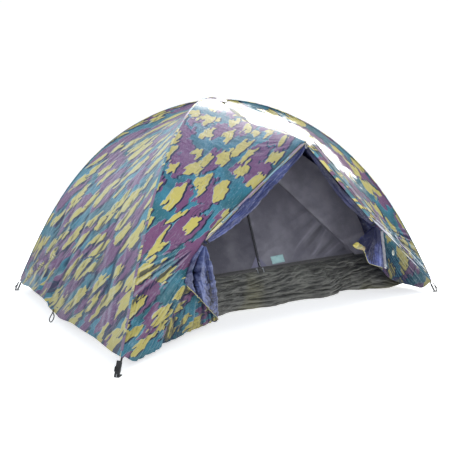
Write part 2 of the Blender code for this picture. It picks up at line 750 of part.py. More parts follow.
def tub():
    """Waterproof tub: a flat floor with four low walls, open on top."""
    levels = [0.0, 0.070, 0.145, TUB_Z]
    per = 8

    def ring_pts(z, inside):
        s = inner_s(z)
        x = FLOOR_X * s - inside
        y0, y1 = FLOOR_Y0 * s + inside, FLOOR_Y1 * s - inside
        pts = []
        corners = [(-x, y0), (x, y0), (x, y1), (-x, y1)]
        for c in range(4):
            a, b = corners[c], corners[(c + 1) % 4]
            for q in range(per):
                w = q / per
                px, py = a[0] + (b[0] - a[0]) * w, a[1] + (b[1] - a[1]) * w
                if c == 0:
                    # the front wall sags back to the door plane
                    target = front_y(z) + inside - (FLOOR_Y0 * s + inside)
                    py += max(0.0, target) * (z / TUB_Z) * min(1.0, 2.2 * math.sin(math.pi * w))
                pts.append((px, py, z))
        return pts
    outer = [ring_pts(z, 0.0) for z in levels]
    inner = [ring_pts(max(z, CLOTH), CLOTH) for z in levels]
    verts, faces = [], []
    for rp in outer + inner[::-1]:
        verts += rp
    k = 4 * per
    for i in range(len(outer) + len(inner) - 1):
        for j in range(k):
            q = (j + 1) % k
            faces.append((i * k + j, i * k + q, (i + 1) * k + q, (i + 1) * k + j))

    def fill(base):
        """Floor faces between the front and back edges, in strips."""
        out = []
        front = [base + j for j in range(per + 1)]
        right = [base + per + j for j in range(per + 1)]
        back = [base + 2 * per + j for j in range(per + 1)][::-1]
        left = ([base + 3 * per + j for j in range(per)] + [base])[::-1]
        return front, right, back, left
    # floor: one ring of points inside the edge keeps the facets regular
    for base in (0, (len(outer) + len(inner) - 1) * k):
        front, right, back, left = fill(base)
        rows = per
        grid = [[None] * (per + 1) for _ in range(rows + 1)]
        for j in range(per + 1):
            grid[0][j] = front[j]
            grid[rows][j] = back[j]
        for i in range(rows + 1):
            grid[i][0] = left[i]
            grid[i][per] = right[i]
        for i in range(1, rows):
            for j in range(1, per):
                a, b = np.array(verts[grid[0][j]]), np.array(verts[grid[rows][j]])
                verts.append(tuple(a + (b - a) * i / rows))
                grid[i][j] = len(verts) - 1
        for i in range(rows):
            for j in range(per):
                faces.append((grid[i][j], grid[i][j + 1], grid[i + 1][j + 1], grid[i + 1][j]))
    return new_object("groundsheet_tub", verts, faces, TUB)


tub()


def inner_side(sx):
    n, m = 10, 6
    g = np.zeros((n + 1, m + 1, 3))
    for i in range(n + 1):
        z = WALL_Z + (INNER_TOP - WALL_Z) * (i / n) ** 0.8
        a, b = seam_pt(z, sx, False), seam_pt(z, sx, True)
        for j in range(m + 1):
            w = j / m
            g[i, j] = a + (b - a) * w + np.array([-sx * 0.035 * 4 * w * (1 - w) * inner_s(z), 0, 0])
    return sheet("inner_side_left" if sx < 0 else "inner_side_right", inset_columns(g, SEAM_INSET), GREY)


def inner_rear():
    n, m = 10, 8
    g = np.zeros((n + 1, m + 1, 3))
    for i in range(n + 1):
        z = WALL_Z + (INNER_TOP - WALL_Z) * (i / n) ** 0.8
        a, b = seam_pt(z, -1, True), seam_pt(z, 1, True)
        for j in range(m + 1):
            w = j / m
            g[i, j] = a + (b - a) * w + np.array([0, -0.035 * 4 * w * (1 - w) * inner_s(z), 0])
    return sheet("inner_rear", inset_columns(g, SEAM_INSET), GREY)


def inner_front(sx):
    """Fixed part beside the inner door, from its side seam to the corner seam, and over its top."""
    n, m = 12, 4
    zs = [WALL_Z] + list(np.linspace(DOOR_Z0, DOOR_TOP, 8)) + list(DOOR_TOP + (INNER_TOP - DOOR_TOP) * np.array([0.33, 0.62, 0.85, 1.0]))
    g = np.zeros((len(zs), m + 1, 3))
    for i, z in enumerate(zs):
        a = seam_pt(z, sx, False)
        if z <= DOOR_TOP:
            x = door_half(max(z, DOOR_Z0)) + 0.0030
            b = np.array([sx * x, front_y(z), z])
        else:
            w = (z - DOOR_TOP) / (INNER_TOP - DOOR_TOP)
            x = (DOOR_TOP_HALF + 0.003) * (1 - w) ** 2 + 0.0025
            b = np.array([sx * x, front_y(DOOR_TOP) * (1 - w) + (FLOOR_Y0 * inner_s(INNER_TOP)) * w, z])
        for j in range(m + 1):
            g[i, j] = a + (b - a) * j / m
    return sheet("inner_front_left" if sx < 0 else "inner_front_right", inset_columns(g, SEAM_INSET, True, False), GREY)


def zip_x(z):
    """Where the upright zip of the inner door is at height z."""
    return ZIP_FOOT * (1 - (z - DOOR_Z0) / (DOOR_TOP - DOOR_Z0))


def inner_door(sx):
    """Half of the inner door: a flat panel from its side seam to the upright zip."""
    n, m = 8, 4
    g = np.zeros((n + 1, m + 1, 3))
    for i in range(n + 1):
        z = DOOR_Z0 + (DOOR_TOP - 0.006 - DOOR_Z0) * i / n
        for j in range(m + 1):
            x = sx * door_half(z) + (zip_x(z) + sx * 0.0010 - sx * door_half(z)) * j / m
            g[i, j] = (x, front_y(z), z)
    ob = sheet("inner_door_left" if sx < 0 else "inner_door_right", g, GREY)
    pivot(ob, (sx * DOOR_HALF, front_y(DOOR_Z0), DOOR_Z0))
    return ob


inner_side(-1)
inner_side(1)
inner_rear()
inner_front(-1)
inner_front(1)
inner_door(-1)
inner_door(1)

# crown of the inner tent with the hook that hangs it from the ridge pole
s_top = inner_s(INNER_TOP)
zc = INNER_TOP + 0.0035
slab("inner_crown", (0, (FLOOR_Y1 + FLOOR_Y0) * s_top / 2, zc), (2 * FLOOR_X * s_top + 0.02, (FLOOR_Y1 - FLOOR_Y0) * s_top + 0.02, 0.0016),
     ((1, 0, 0), (0, 1, 0), (0, 0, 1)), GREY)
zh = zc + 0.0012
hook = [(0.0, 0.012, zh), (0.0, 0.012, zh + 0.006), (0.0085, 0.012, zh + 0.014), (0.0085, 0.012, zr + 0.001), (0.0065, 0.012, zr + 0.0062),
        (0.0, 0.012, zr + 0.0078), (-0.0065, 0.012, zr + 0.0062), (-0.0088, 0.012, zr)]
tube("inner_hook", smooth_path(hook, 14, 2), [0.0014] * 14, BLACK, 6)

# zips of the inner door: one up the middle, two along the top of the tub
plane_up = np.array([0, DOOR_LEAN, 1.0])
plane_up /= np.linalg.norm(plane_up)
plane_out = np.array([0, -1.0, DOOR_LEAN])
plane_out /= np.linalg.norm(plane_out)
XX = np.array([1.0, 0, 0])


def door_plane(x, z, out=0.0):
    return np.array([x, front_y(z), z]) + plane_out * out


def pull_tab(name, pivot_point, length):
    """A pull that lies against the leaning cloth, below its pivot."""
    ob = slab(name, pivot_point - plane_up * (length / 2 - 0.001), (0.0050, 0.0014, length), (XX, plane_out, plane_up), STEEL)
    pivot(ob, pivot_point)
    return ob


z_mid = 0.262
c = door_plane(zip_x(z_mid) + 0.0045, z_mid, 0.0040)
slab("inner_zip_slider", c, (0.0080, 0.0045, 0.0110), (XX, plane_out, plane_up), STEEL)
pull_tab("inner_zip_pull", c + plane_out * 0.0045, 0.026)
for label, sx in (("left", -1), ("right", 1)):
    c = door_plane(ZIP_FOOT + sx * 0.022, 0.226, 0.0045)
    slab("tub_zip_slider_%s" % label, c, (0.0110, 0.0045, 0.0080), (XX, plane_out, plane_up), STEEL)
    pull_tab("tub_zip_pull_%s" % label, c + plane_out * 0.0045, 0.026)

slab("label_patch", door_plane(0.113, 0.264, 0.0015), (0.100, 0.0008, 0.046), (XX, plane_out, plane_up), ((0.35, 0.5, 0.5), 0.6))


# ---------------------------------------------------------------- peg loops on the side hems
LOOP_X, LOOP_Y = 1.1065, -0.020
LOOP_TOP = 0.0680          # just under the hem


def peg_loop(name, sx):
    """A narrow loop of shock cord that hangs from the middle of the side hem."""
    c = np.array([sx * LOOP_X, LOOP_Y, LOOP_TOP - 0.0310])
    pts = []
    for k in range(14):
        w = 2 * math.pi * k / 14
        pts.append(c + np.array([0, 0.0125 * math.sin(w), 0.0290 * math.cos(w)]))
    r, sides = 0.0020, 6
    verts, faces = [], []
    n = len(pts)
    for k in range(n):
        t = pts[(k + 1) % n] - pts[k - 1]
        t /= np.linalg.norm(t)
        a = np.array([1.0, 0, 0])
        b = np.cross(t, a)
        for q in range(sides):
            w = 2 * math.pi * q / sides
            verts.append(pts[k] + r * (math.cos(w) * a + math.sin(w) * b))
    for k in range(n):
        j = (k + 1) % n
        for q in range(sides):
            s = (q + 1) % sides
            faces.append((k * sides + q, j * sides + q, j * sides + s, k * sides + s))
    ob = new_object(name, verts, faces, BLACK)
    pivot(ob, (sx * LOOP_X, LOOP_Y, LOOP_TOP - 0.0020))
    return ob


peg_loop("peg_loop_left", -1)
peg_loop("peg_loop_right", 1)
pivot(fl, mirror(TIE, -1))
pivot(fr_, mirror(TIE, 1))
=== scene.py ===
import bpy
import bmesh
import math
import numpy as np
from mathutils import Matrix, Vector


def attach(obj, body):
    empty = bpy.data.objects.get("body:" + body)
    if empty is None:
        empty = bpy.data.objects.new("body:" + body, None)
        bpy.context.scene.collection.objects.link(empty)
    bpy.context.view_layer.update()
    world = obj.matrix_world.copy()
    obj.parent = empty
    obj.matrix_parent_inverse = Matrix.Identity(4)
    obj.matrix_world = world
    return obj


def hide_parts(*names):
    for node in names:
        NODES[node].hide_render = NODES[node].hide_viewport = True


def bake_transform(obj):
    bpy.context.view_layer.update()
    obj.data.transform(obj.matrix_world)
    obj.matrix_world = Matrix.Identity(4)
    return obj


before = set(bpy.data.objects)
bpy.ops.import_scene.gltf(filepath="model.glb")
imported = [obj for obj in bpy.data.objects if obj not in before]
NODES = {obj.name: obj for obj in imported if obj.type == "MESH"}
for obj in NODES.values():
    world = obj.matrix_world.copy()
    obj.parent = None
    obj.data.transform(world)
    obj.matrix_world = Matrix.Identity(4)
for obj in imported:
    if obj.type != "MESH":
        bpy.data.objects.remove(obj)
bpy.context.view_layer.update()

# ------------------------------------------------------------------ camera
YAW, PITCH, ROLL = 0.61813, -0.10194, -0.01092
EYE = np.array([-1.77392, -2.55197, 0.76352])
look = np.array([math.sin(YAW) * math.cos(PITCH), math.cos(YAW) * math.cos(PITCH), math.sin(PITCH)])
side = np.cross(look, [0, 0, 1.0])
side /= np.linalg.norm(side)
over = np.cross(side, look)
cx = math.cos(ROLL) * side + math.sin(ROLL) * over
cy = -math.sin(ROLL) * side + math.cos(ROLL) * over
cam_data = bpy.data.cameras.new("camera")
cam_data.sensor_width = 36.0
cam_data.lens = 36.0 * 469.297 / 450.0
cam = bpy.data.objects.new("camera", cam_data)
bpy.context.scene.collection.objects.link(cam)
cam.matrix_world = Matrix(((cx[0], cy[0], -look[0], EYE[0]), (cx[1], cy[1], -look[1], EYE[1]),
                           (cx[2], cy[2], -look[2], EYE[2]), (0, 0, 0, 1)))
bpy.context.scene.camera = cam
bpy.context.scene.view_settings.view_transform = "Standard"


# ------------------------------------------------------------------ noise, in numpy
def lattice(seed):
    r = np.random.default_rng(seed)
    p = r.permutation(512)
    a = r.uniform(0, 2 * math.pi, 512)
    return np.concatenate([p, p]), np.cos(a), np.sin(a)


_tables = {}


def perlin(x, y, seed=0):
    """Gradient noise from about -1 to 1."""
    if seed not in _tables:
        _tables[seed] = lattice(seed)
    p, gx, gy = _tables[seed]
    x, y = np.broadcast_arrays(np.asarray(x, float), np.asarray(y, float))
    xi, yi = np.floor(x).astype(int), np.floor(y).astype(int)
    fx, fy = x - xi, y - yi
    xi, yi = xi % 512, yi % 512

    def g(ix, iy, dx, dy):
        h = p[(p[ix % 512] + iy) % 512]
        return gx[h] * dx + gy[h] * dy
    u, v = fx * fx * fx * (fx * (fx * 6 - 15) + 10), fy * fy * fy * (fy * (fy * 6 - 15) + 10)
    a, b = g(xi, yi, fx, fy), g(xi + 1, yi, fx - 1, fy)
    c, d = g(xi, yi + 1, fx, fy - 1), g(xi + 1, yi + 1, fx - 1, fy - 1)
    return 1.5 * ((a + (b - a) * u) * (1 - v) + (c + (d - c) * u) * v)


def fbm(x, y, seed=0, octaves=3, gain=0.5):
    out, amp, f = 0.0, 1.0, 1.0
    for k in range(octaves):
        out = out + amp * perlin(x * f + 17.3 * k, y * f - 9.1 * k, seed + k)
        amp *= gain
        f *= 2.03
    return out


def smooth(a, b, x):
    t = np.clip((x - a) / (b - a), 0, 1)
    return t * t * (3 - 2 * t)


# ------------------------------------------------------------------ the tent's lines (as the CAD part has them)
FOOT_X, FOOT_Y, CROWN_Z = 1.10, 0.881, 1.2526
POLE_GAP, SEAM_LIFT = 0.0098, 0.0120
PEAK = np.array([0.0, -0.786, 0.943])
TIE = np.array([0.625, -0.761, 0.472])
CORNER = np.array([1.075, -0.872, 0.062])
U_TOP, U_BOT = 0.981, 0.036


def elliptic(k, n=4001):
    ph = np.linspace(0.0, math.pi / 2, n)
    root = np.sqrt(1.0 - (k * np.sin(ph)) ** 2)
    step = ph[1] - ph[0]

    def run(f):
        return np.concatenate(([0.0], np.cumsum((f[1:] + f[:-1]) * 0.5 * step)))
    return ph, run(1.0 / root), run(2.0 * root - 1.0 / root)


def bent_rod(rise_over_span):
    lo, hi = 0.05, 0.9
    for _ in range(60):
        k = 0.5 * (lo + hi)
        ph, arc, reach = elliptic(k)
        if k / reach[-1] < rise_over_span:
            lo = k
        else:
            hi = k
    return (1.0 - arc / arc[-1])[::-1], (reach / reach[-1])[::-1], np.cos(ph)[::-1]


SPAN = 2.0 * math.hypot(FOOT_X, FOOT_Y)
ROD_U, ROD_S, ROD_Z = bent_rod(CROWN_Z / SPAN)


def rod_sz(u, rise):
    return np.interp(u, ROD_U, ROD_S), rise * np.interp(u, ROD_U, ROD_Z)


def pole_point(u, sx, sy, rise, lift=0.0):
    s, z = rod_sz(u, rise)
    s0, z0 = rod_sz(max(u - 0.002, 0.0), rise)
    s1, z1 = rod_sz(min(u + 0.002, 1.0), rise)
    half = 0.5 * SPAN
    d = np.array([half * (s1 - s0), z1 - z0])
    d /= np.linalg.norm(d)
    r, h = half * s + lift * d[1], z - lift * d[0]
    return np.array([sx * FOOT_X * r / half, sy * FOOT_Y * r / half, h])


RISE = {1: CROWN_Z, 2: CROWN_Z - POLE_GAP}
FOOT = {"front_left": (-1, -1, 1), "back_right": (1, 1, 1), "back_left": (-1, 1, 2), "front_right": (1, -1, 2)}


def seam(u, corner, extra=0.0):
    sx, sy, which = FOOT[corner]
    lift = SEAM_LIFT + extra + (POLE_GAP if which == 2 else 0.0) * max(0.0, (u - 0.75) / 0.25)
    return pole_point(u, sx, sy, RISE[which], lift)


def resample(points, n):
    p = np.array(points, float)
    d = np.concatenate(([0.0], np.cumsum(np.linalg.norm(np.diff(p, axis=0), axis=1))))
    t = np.linspace(0.0, d[-1], n)
    return np.stack([np.interp(t, d, p[:, c]) for c in range(3)], 1)


def smooth_path(points, n, passes=2):
    p = np.array(points, float)
    for _ in range(passes):
        q = [p[0]]
        for a, b in zip(p[:-1], p[1:]):
            q += [0.75 * a + 0.25 * b, 0.25 * a + 0.75 * b]
        q.append(p[-1])
        p = np.array(q)
    return resample(p, n)


def spline(points, n):
    """A smooth curve through the points (Catmull-Rom), evenly spaced."""
    p = np.array(points, float)
    q = np.vstack([2 * p[0] - p[1], p, 2 * p[-1] - p[-2]])
    out = []
    for i in range(1, len(q) - 2):
        t = np.linspace(0, 1, 24, endpoint=False)[:, None]
        a, b, c, d = q[i - 1], q[i], q[i + 1], q[i + 2]
        out.append(0.5 * (2 * b + (c - a) * t + (2 * a - 5 * b + 4 * c - d) * t ** 2 + (3 * b - a - 3 * c + d) * t ** 3))
    out.append(p[-1:])
    return resample(np.vstack(out), n)


def coons(left, right, top, bottom):
    n, m = len(left), len(top)
    v = np.linspace(0, 1, n)[:, None, None]
    w = np.linspace(0, 1, m)[None, :, None]
    return ((1 - w) * left[:, None] + w * right[:, None] + (1 - v) * top[None] + v * bottom[None]
            - (1 - w) * (1 - v) * left[0] - w * (1 - v) * right[0] - (1 - w) * v * left[-1] - w * v * right[-1])


def tighten(g, passes, pins=()):
    for _ in range(passes):
        g[1:-1, 1:-1] = 0.25 * (g[:-2, 1:-1] + g[2:, 1:-1] + g[1:-1, :-2] + g[1:-1, 2:])
        for i, j, p in pins:
            g[i, j] = p
    return g


def double(g):
    """Twice the rows and columns, by smooth interpolation."""
    def rows(a):
        n = a.shape[0]
        b = np.zeros((2 * n - 1,) + a.shape[1:])
        b[::2] = a
        mid = 0.5 * (a[:-1] + a[1:])
        if n > 3:
            mid[1:-1] = (-a[:-3] + 9 * a[1:-2] + 9 * a[2:-1] - a[3:]) / 16
        b[1::2] = mid
        return b
    return np.swapaxes(rows(np.swapaxes(rows(g), 0, 1)), 0, 1)


def membrane(edges, n, m, levels, pins=()):
    """A cloth pulled tight between four edges. edges(n, m) gives them at any fineness."""
    g = coons(*edges(n, m))
    g = tighten(g, 260, [(i, j, p) for i, j, p in pins])
    for k in range(levels):
        g = double(g)
        n, m = 2 * n, 2 * m
        left, right, top, bottom = edges(n, m)
        g[:, 0], g[:, -1], g[0], g[-1] = left, right, top, bottom
        f = 2 ** (k + 1)
        g = tighten(g, 14 if k else 30)
    return g


def rows_u(n):
    return U_TOP + (U_BOT - U_TOP) * (np.linspace(0, 1, n + 1) ** 0.93)


RIDGE = np.array([(0.000, 1.262), (0.050, 1.244), (0.100, 1.206), (0.150, 1.160), (0.200, 1.125), (0.280, 1.092),
                  (0.400, 1.059), (0.530, 1.022), (0.620, 0.997), (0.700, 0.975), (0.786, 0.943)])


def ridge_z(y):
    return float(np.mean([np.interp(abs(y) + d, RIDGE[:, 0], RIDGE[:, 1]) for d in (-0.02, -0.01, 0.0, 0.01, 0.02)]))


def mirror(p, sx):
    return np.array([p[0] * sx, p[1], p[2]])


def side_edges(sx):
    f, b = ("front_left", "back_left") if sx < 0 else ("front_right", "back_right")

    def edges(n, m):
        left = np.array([seam(u, f) for u in rows_u(n)])
        right = np.array([seam(u, b) for u in rows_u(n)])
        w = np.linspace(0, 1, m + 1)[:, None]
        top = left[0] + (right[0] - left[0]) * w
        if sx < 0:
            pts = [left[-1], (-1.094, -0.62, 0.078), (-1.106, -0.40, 0.076), (-1.112, -0.20, 0.070), (-1.112, -0.02, 0.082),
                   (-1.110, 0.16, 0.094), (-1.106, 0.38, 0.094), (-1.098, 0.62, 0.082), right[-1]]
        else:
            pts = [left[-1], (1.096, -0.45, 0.076), (1.112, -0.02, 0.074), (1.096, 0.45, 0.079), right[-1]]
        hem = smooth_path(pts, m + 1)
        return left, right, top, hem
    return edges


K_PEAK, K_TIE = 5 / 16, 9 / 16


def front_edges(sx):
    f = "front_left" if sx < 0 else "front_right"

    def edges(n, m):
        left = np.array([seam(u, f) for u in rows_u(n)])
        y0 = 0.040
        edge = []
        for i in range(n + 1):
            v = i / n
            if v <= K_PEAK:
                y = y0 + (0.786 - y0) * v / K_PEAK
                edge.append([0.0, -y, ridge_z(y) if v < K_PEAK else PEAK[2]])
            elif v <= K_TIE:
                edge.append(PEAK + (mirror(TIE, sx) - PEAK) * (v - K_PEAK) / (K_TIE - K_PEAK))
            else:
                edge.append(mirror(TIE, sx) + (mirror(CORNER, sx) - mirror(TIE, sx)) * (v - K_TIE) / (1 - K_TIE))
        edge = np.array(edge)
        w = np.linspace(0, 1, m + 1)[:, None]
        return left, edge, left[0] + (edge[0] - left[0]) * w, left[-1] + (edge[-1] - left[-1]) * w
    return edges


def rear_edges(n, m):
    left = np.array([seam(u, "back_left") for u in rows_u(n)])
    right = np.array([seam(u, "back_right") for u in rows_u(n)])
    w = np.linspace(0, 1, m + 1)[:, None]
    hem = smooth_path([left[-1], (-0.5, 0.878, 0.070), (0.0, 0.888, 0.066), (0.5, 0.878, 0.070), right[-1]], m + 1)
    return left, right, left[0] + (right[0] - left[0]) * w, hem


def normals(g):
    n = np.cross(np.gradient(g, axis=0), np.gradient(g, axis=1))
    return n / np.maximum(np.linalg.norm(n, axis=2), 1e-12)[..., None]


# ------------------------------------------------------------------ meshes
def link(name, me, *mats):
    for m in mats:
        me.materials.append(m)
    ob = bpy.data.objects.new(name, me)
    bpy.context.scene.collection.objects.link(ob)
    return ob


def mesh(name, verts, faces, mats, uv=None, slots=None, smooth_shade=True, sharp=None, fold=None):
    me = bpy.data.meshes.new(name)
    me.from_pydata(np.asarray(verts, float).tolist(), [], [tuple(map(int, f)) for f in faces])
    if uv is not None:
        layer = me.uv_layers.new(name="cloth")
        idx = np.zeros(len(me.loops), np.int64)
        me.loops.foreach_get("vertex_index", idx)
        layer.data.foreach_set("uv", np.asarray(uv, np.float32)[idx].ravel())
    # the fold attribute drives the painted shade and painted highlight of shade_folds
    if fold is not None:
        me.attributes.new("fold", "FLOAT", "POINT").data.foreach_set("value", np.asarray(fold, np.float32).ravel())
    if slots is not None:
        me.polygons.foreach_set("material_index", np.asarray(slots, np.int32))
    if smooth_shade:
        me.shade_smooth()
        if sharp:
            me.set_sharp_from_angle(angle=math.radians(sharp))
    me.update()
    return link(name, me, *mats)


def relief(h, reach, scale):
    """How far each point of a height field stands above (1) or below (-1) what is round it."""
    low = h.copy()
    for _ in range(reach):
        low[1:-1] = (low[:-2] + 2 * low[1:-1] + low[2:]) / 4
        low[:, 1:-1] = (low[:, :-2] + 2 * low[:, 1:-1] + low[:, 2:]) / 4
    return np.clip((h - low) / scale, -1, 1)


def shell(name, g, mats, uv, thickness=0.0008, flip=False, fold=None):
    """A closed sheet round a grid of points: mats[0] on the side its normals face, mats[1] on the other."""
    n, m = g.shape[:2]
    nr = normals(g) * (-1 if flip else 1)
    a, b = (g + nr * thickness / 2).reshape(-1, 3), (g - nr * thickness / 2).reshape(-1, 3)
    off = n * m
    idx = np.arange(off).reshape(n, m)
    q = np.stack([idx[:-1, :-1], idx[:-1, 1:], idx[1:, 1:], idx[1:, :-1]], -1).reshape(-1, 4)
    if not flip:
        q = q[:, ::-1]
    ring = np.concatenate([idx[0, :], idx[1:, -1], idx[-1, -2::-1], idx[-2:0:-1, 0]])
    nx = np.roll(ring, -1)
    rim = np.stack([ring, nx, off + nx, off + ring], -1)
    if flip:
        rim = rim[:, ::-1]
    faces = np.concatenate([q, off + q[:, ::-1], rim])
    slots = np.concatenate([np.zeros(len(q)), np.ones(len(q)), np.zeros(len(rim))]).astype(int)
    u2 = np.concatenate([uv.reshape(-1, 2)] * 2)
    if len(mats) == 1:
        slots[:] = 0
    if fold is not None:
        fold = np.concatenate([fold.ravel(), -fold.ravel()])
    ob = mesh(name, np.concatenate([a, b]), faces, mats, u2, slots, True, 50, fold)
    return ob


def cloth_area(g):
    d = np.cross(g[1:, 1:] - g[:-1, :-1], g[1:, :-1] - g[:-1, 1:])
    return float(np.linalg.norm(d, axis=2).sum() / 2)


def declare(g):
    """Works out a rectangle round a grid piece and the piece's own area, and keeps neither."""
    a = cloth_area(g)
    w = max(np.linalg.norm(np.diff(g, axis=1), axis=2).sum(1).max(), 0.012)
    h = max(np.linalg.norm(np.diff(g, axis=0), axis=2).sum(0).max(), 0.012)
    if w * h < a:
        h = a / w * 1.001


# ------------------------------------------------------------------ materials
def rgb(hexa):
    c = [int(hexa[i:i + 2], 16) / 255 for i in (0, 2, 4)]
    return tuple(x / 12.92 if x <= 0.04045 else ((x + 0.055) / 1.055) ** 2.4 for x in c)


class Nodes:
    """Short names for building a node tree."""

    def __init__(self, tree):
        self.t = tree

    def new(self, kind, **values):
        n = self.t.nodes.new(kind)
        for k, v in values.items():
            setattr(n, k, v)
        return n

    def put(self, node, **links):
        for k, v in links.items():
            s = node.inputs[int(k[1:])] if k[0] == "i" and k[1:].isdigit() else node.inputs[k.replace("_", " ")]
            if isinstance(v, bpy.types.NodeSocket):
                self.t.links.new(v, s)
            else:
                s.default_value = v
        return node

    def math(self, op, a, b=0.0, c=None, clamp=False):
        n = self.new("ShaderNodeMath", operation=op, use_clamp=clamp)
        self.put(n, i0=a, i1=b)
        if c is not None:
            self.put(n, i2=c)
        return n.outputs[0]

    def vec(self, op, a, b=None, scale=None):
        n = self.new("ShaderNodeVectorMath", operation=op)
        self.put(n, i0=a)
        if b is not None:
            self.put(n, i1=b)
        if scale is not None:
            self.put(n, Scale=scale)
        return n.outputs[0]

    def noise(self, vector, scale, detail=0.0, rough=0.5, dims="2D", out="Fac", distortion=0.0):
        n = self.new("ShaderNodeTexNoise", noise_dimensions=dims)
        self.put(n, Vector=vector, Scale=scale, Detail=detail, Roughness=rough, Distortion=distortion)
        return n.outputs[out]

    def mix(self, fac, a, b, mode="MIX"):
        n = self.new("ShaderNodeMix", data_type="RGBA", blend_type=mode)
        n.clamp_factor = True
        for s, v in ((n.inputs[0], fac), (n.inputs[6], a), (n.inputs[7], b)):
            if isinstance(v, bpy.types.NodeSocket):
                self.t.links.new(v, s)
            else:
                s.default_value = (*v, 1.0) if hasattr(v, "__len__") and len(v) == 3 else v
        return n.outputs[2]

    def ramp(self, x, a, b):
        n = self.new("ShaderNodeMapRange", interpolation_type="SMOOTHSTEP")
        self.put(n, Value=x, From_Min=a, From_Max=b, To_Min=0.0, To_Max=1.0)
        return n.outputs[0]

    def uv(self):
        return self.new("ShaderNodeUVMap", uv_map="cloth").outputs[0]

    def shade_folds(self, col, dark, dark_fac, light, light_fac):
        """Painted shade in the folds and painted highlight on the crests, from how the cloth lies."""
        a = self.new("ShaderNodeAttribute", attribute_type="GEOMETRY", attribute_name="fold").outputs["Fac"]
        col = self.mix(self.math("MULTIPLY", self.ramp(a, -0.10, -0.75), dark_fac), col, dark)
        return self.mix(self.math("MULTIPLY", self.ramp(a, 0.15, 0.90), light_fac), col, light)

    def position(self):
        return self.new("ShaderNodeTexCoord").outputs["Object"]

    def bump(self, height, strength, distance, normal=None):
        n = self.new("ShaderNodeBump")
        self.put(n, Height=height, Strength=strength, Distance=distance)
        if normal is not None:
            self.put(n, Normal=normal)
        return n.outputs[0]


def material(name):
    m = bpy.data.materials.new(name)
    m.use_nodes = True
    t = m.node_tree
    b = t.nodes["Principled BSDF"]
    return m, Nodes(t), b


def camo_group(line):
    """The camouflage print: long jagged patches in three colours, each with a dark line along its lower
    right edge, line wide, and a thin pale one along the other. The first axis runs along the patches, in metres."""
    g = bpy.data.node_groups.new("camouflage", "ShaderNodeTree")
    g.interface.new_socket("Vector", in_out="INPUT", socket_type="NodeSocketVector")
    g.interface.new_socket("Color", in_out="OUTPUT", socket_type="NodeSocketColor")
    k = Nodes(g)
    gi, go = g.nodes.new("NodeGroupInput"), g.nodes.new("NodeGroupOutput")
    p0 = gi.outputs[0]
    half = (0.5, 0.5, 0.5)

    def patches(p, offset, cell, spin, low, high):
        v = k.new("ShaderNodeTexVoronoi", voronoi_dimensions="2D", feature="F1", distance="EUCLIDEAN")
        k.put(v, Vector=k.vec("MULTIPLY", k.vec("ADD", p, offset), (cell[0], cell[1], 1.0)), Scale=1.0, Randomness=spin)
        size = k.new("ShaderNodeSeparateColor")
        k.put(size, i0=v.outputs["Color"])
        limit = k.math("MULTIPLY_ADD", size.outputs[0], high - low, low)
        d = k.math("SUBTRACT", limit, v.outputs["Distance"])
        return k.ramp(d, -0.004, 0.004)

    def masks(offset):
        p = k.vec("ADD", p0, offset)
        w1 = k.noise(k.vec("MULTIPLY", p, (5.0, 27.0, 1.0)), 1.0, 0.0, out="Color")
        w2 = k.noise(k.vec("MULTIPLY", p, (24.0, 88.0, 1.0)), 1.0, 0.0, out="Color")
        a = k.vec("MULTIPLY", k.vec("SUBTRACT", w1, half), (0.15, 0.034, 0.0))
        b = k.vec("MULTIPLY", k.vec("SUBTRACT", w2, half), (0.070, 0.016, 0.0))
        q = k.vec("ADD", p, k.vec("ADD", a, b))
        yellow = patches(q, (3.1, 7.7, 0), (4.9, 12.0), 0.66, 0.24, 0.365)
        mauve = patches(q, (11.4, -5.2, 0), (3.7, 8.2), 0.72, 0.31, 0.46)
        return yellow, mauve
    y0, m0 = masks((0.0, 0.0, 0.0))
    y1, m1 = masks((-0.0066 * line, 0.0112 * line, 0.0))
    y2, m2 = masks((0.0014, -0.0022, 0.0))
    tone = k.noise(p0, 5.0, 2.0, 0.5)
    c = k.mix(k.ramp(tone, 0.35, 0.65), TEAL_A, TEAL_B)
    c = k.mix(m0, c, MAUVE)
    c = k.mix(y0, c, KHAKI)
    # thin pale line above a patch, dark line below it
    rise_y = k.math("SUBTRACT", y2, y0, clamp=True)
    rise_m = k.math("MULTIPLY", k.math("SUBTRACT", m2, m0, clamp=True), 0.6)
    c = k.mix(k.math("MULTIPLY", k.math("MAXIMUM", rise_y, rise_m), 0.65), c, PALE)
    dark_y = k.math("SUBTRACT", y1, y0, clamp=True)
    dark_m = k.math("MULTIPLY", k.math("SUBTRACT", m1, m0, clamp=True), k.math("SUBTRACT", 1.0, y0))
    gate = k.ramp(k.noise(p0, 9.0, 0.0), 0.34, 0.44)
    c = k.mix(k.math("MAXIMUM", dark_y, k.math("MULTIPLY", dark_m, gate)), c, NAVY)
    k.put(go, i0=c)
    return g


TEAL_A, TEAL_B = rgb("23636f"), rgb("337d92")
MAUVE, KHAKI, NAVY, PALE = rgb("72446c"), rgb("c4b75e"), rgb("0f1538"), rgb("b4c6da")
CAMO, CAMO_WIDE = camo_group(0.72), camo_group(1.45)


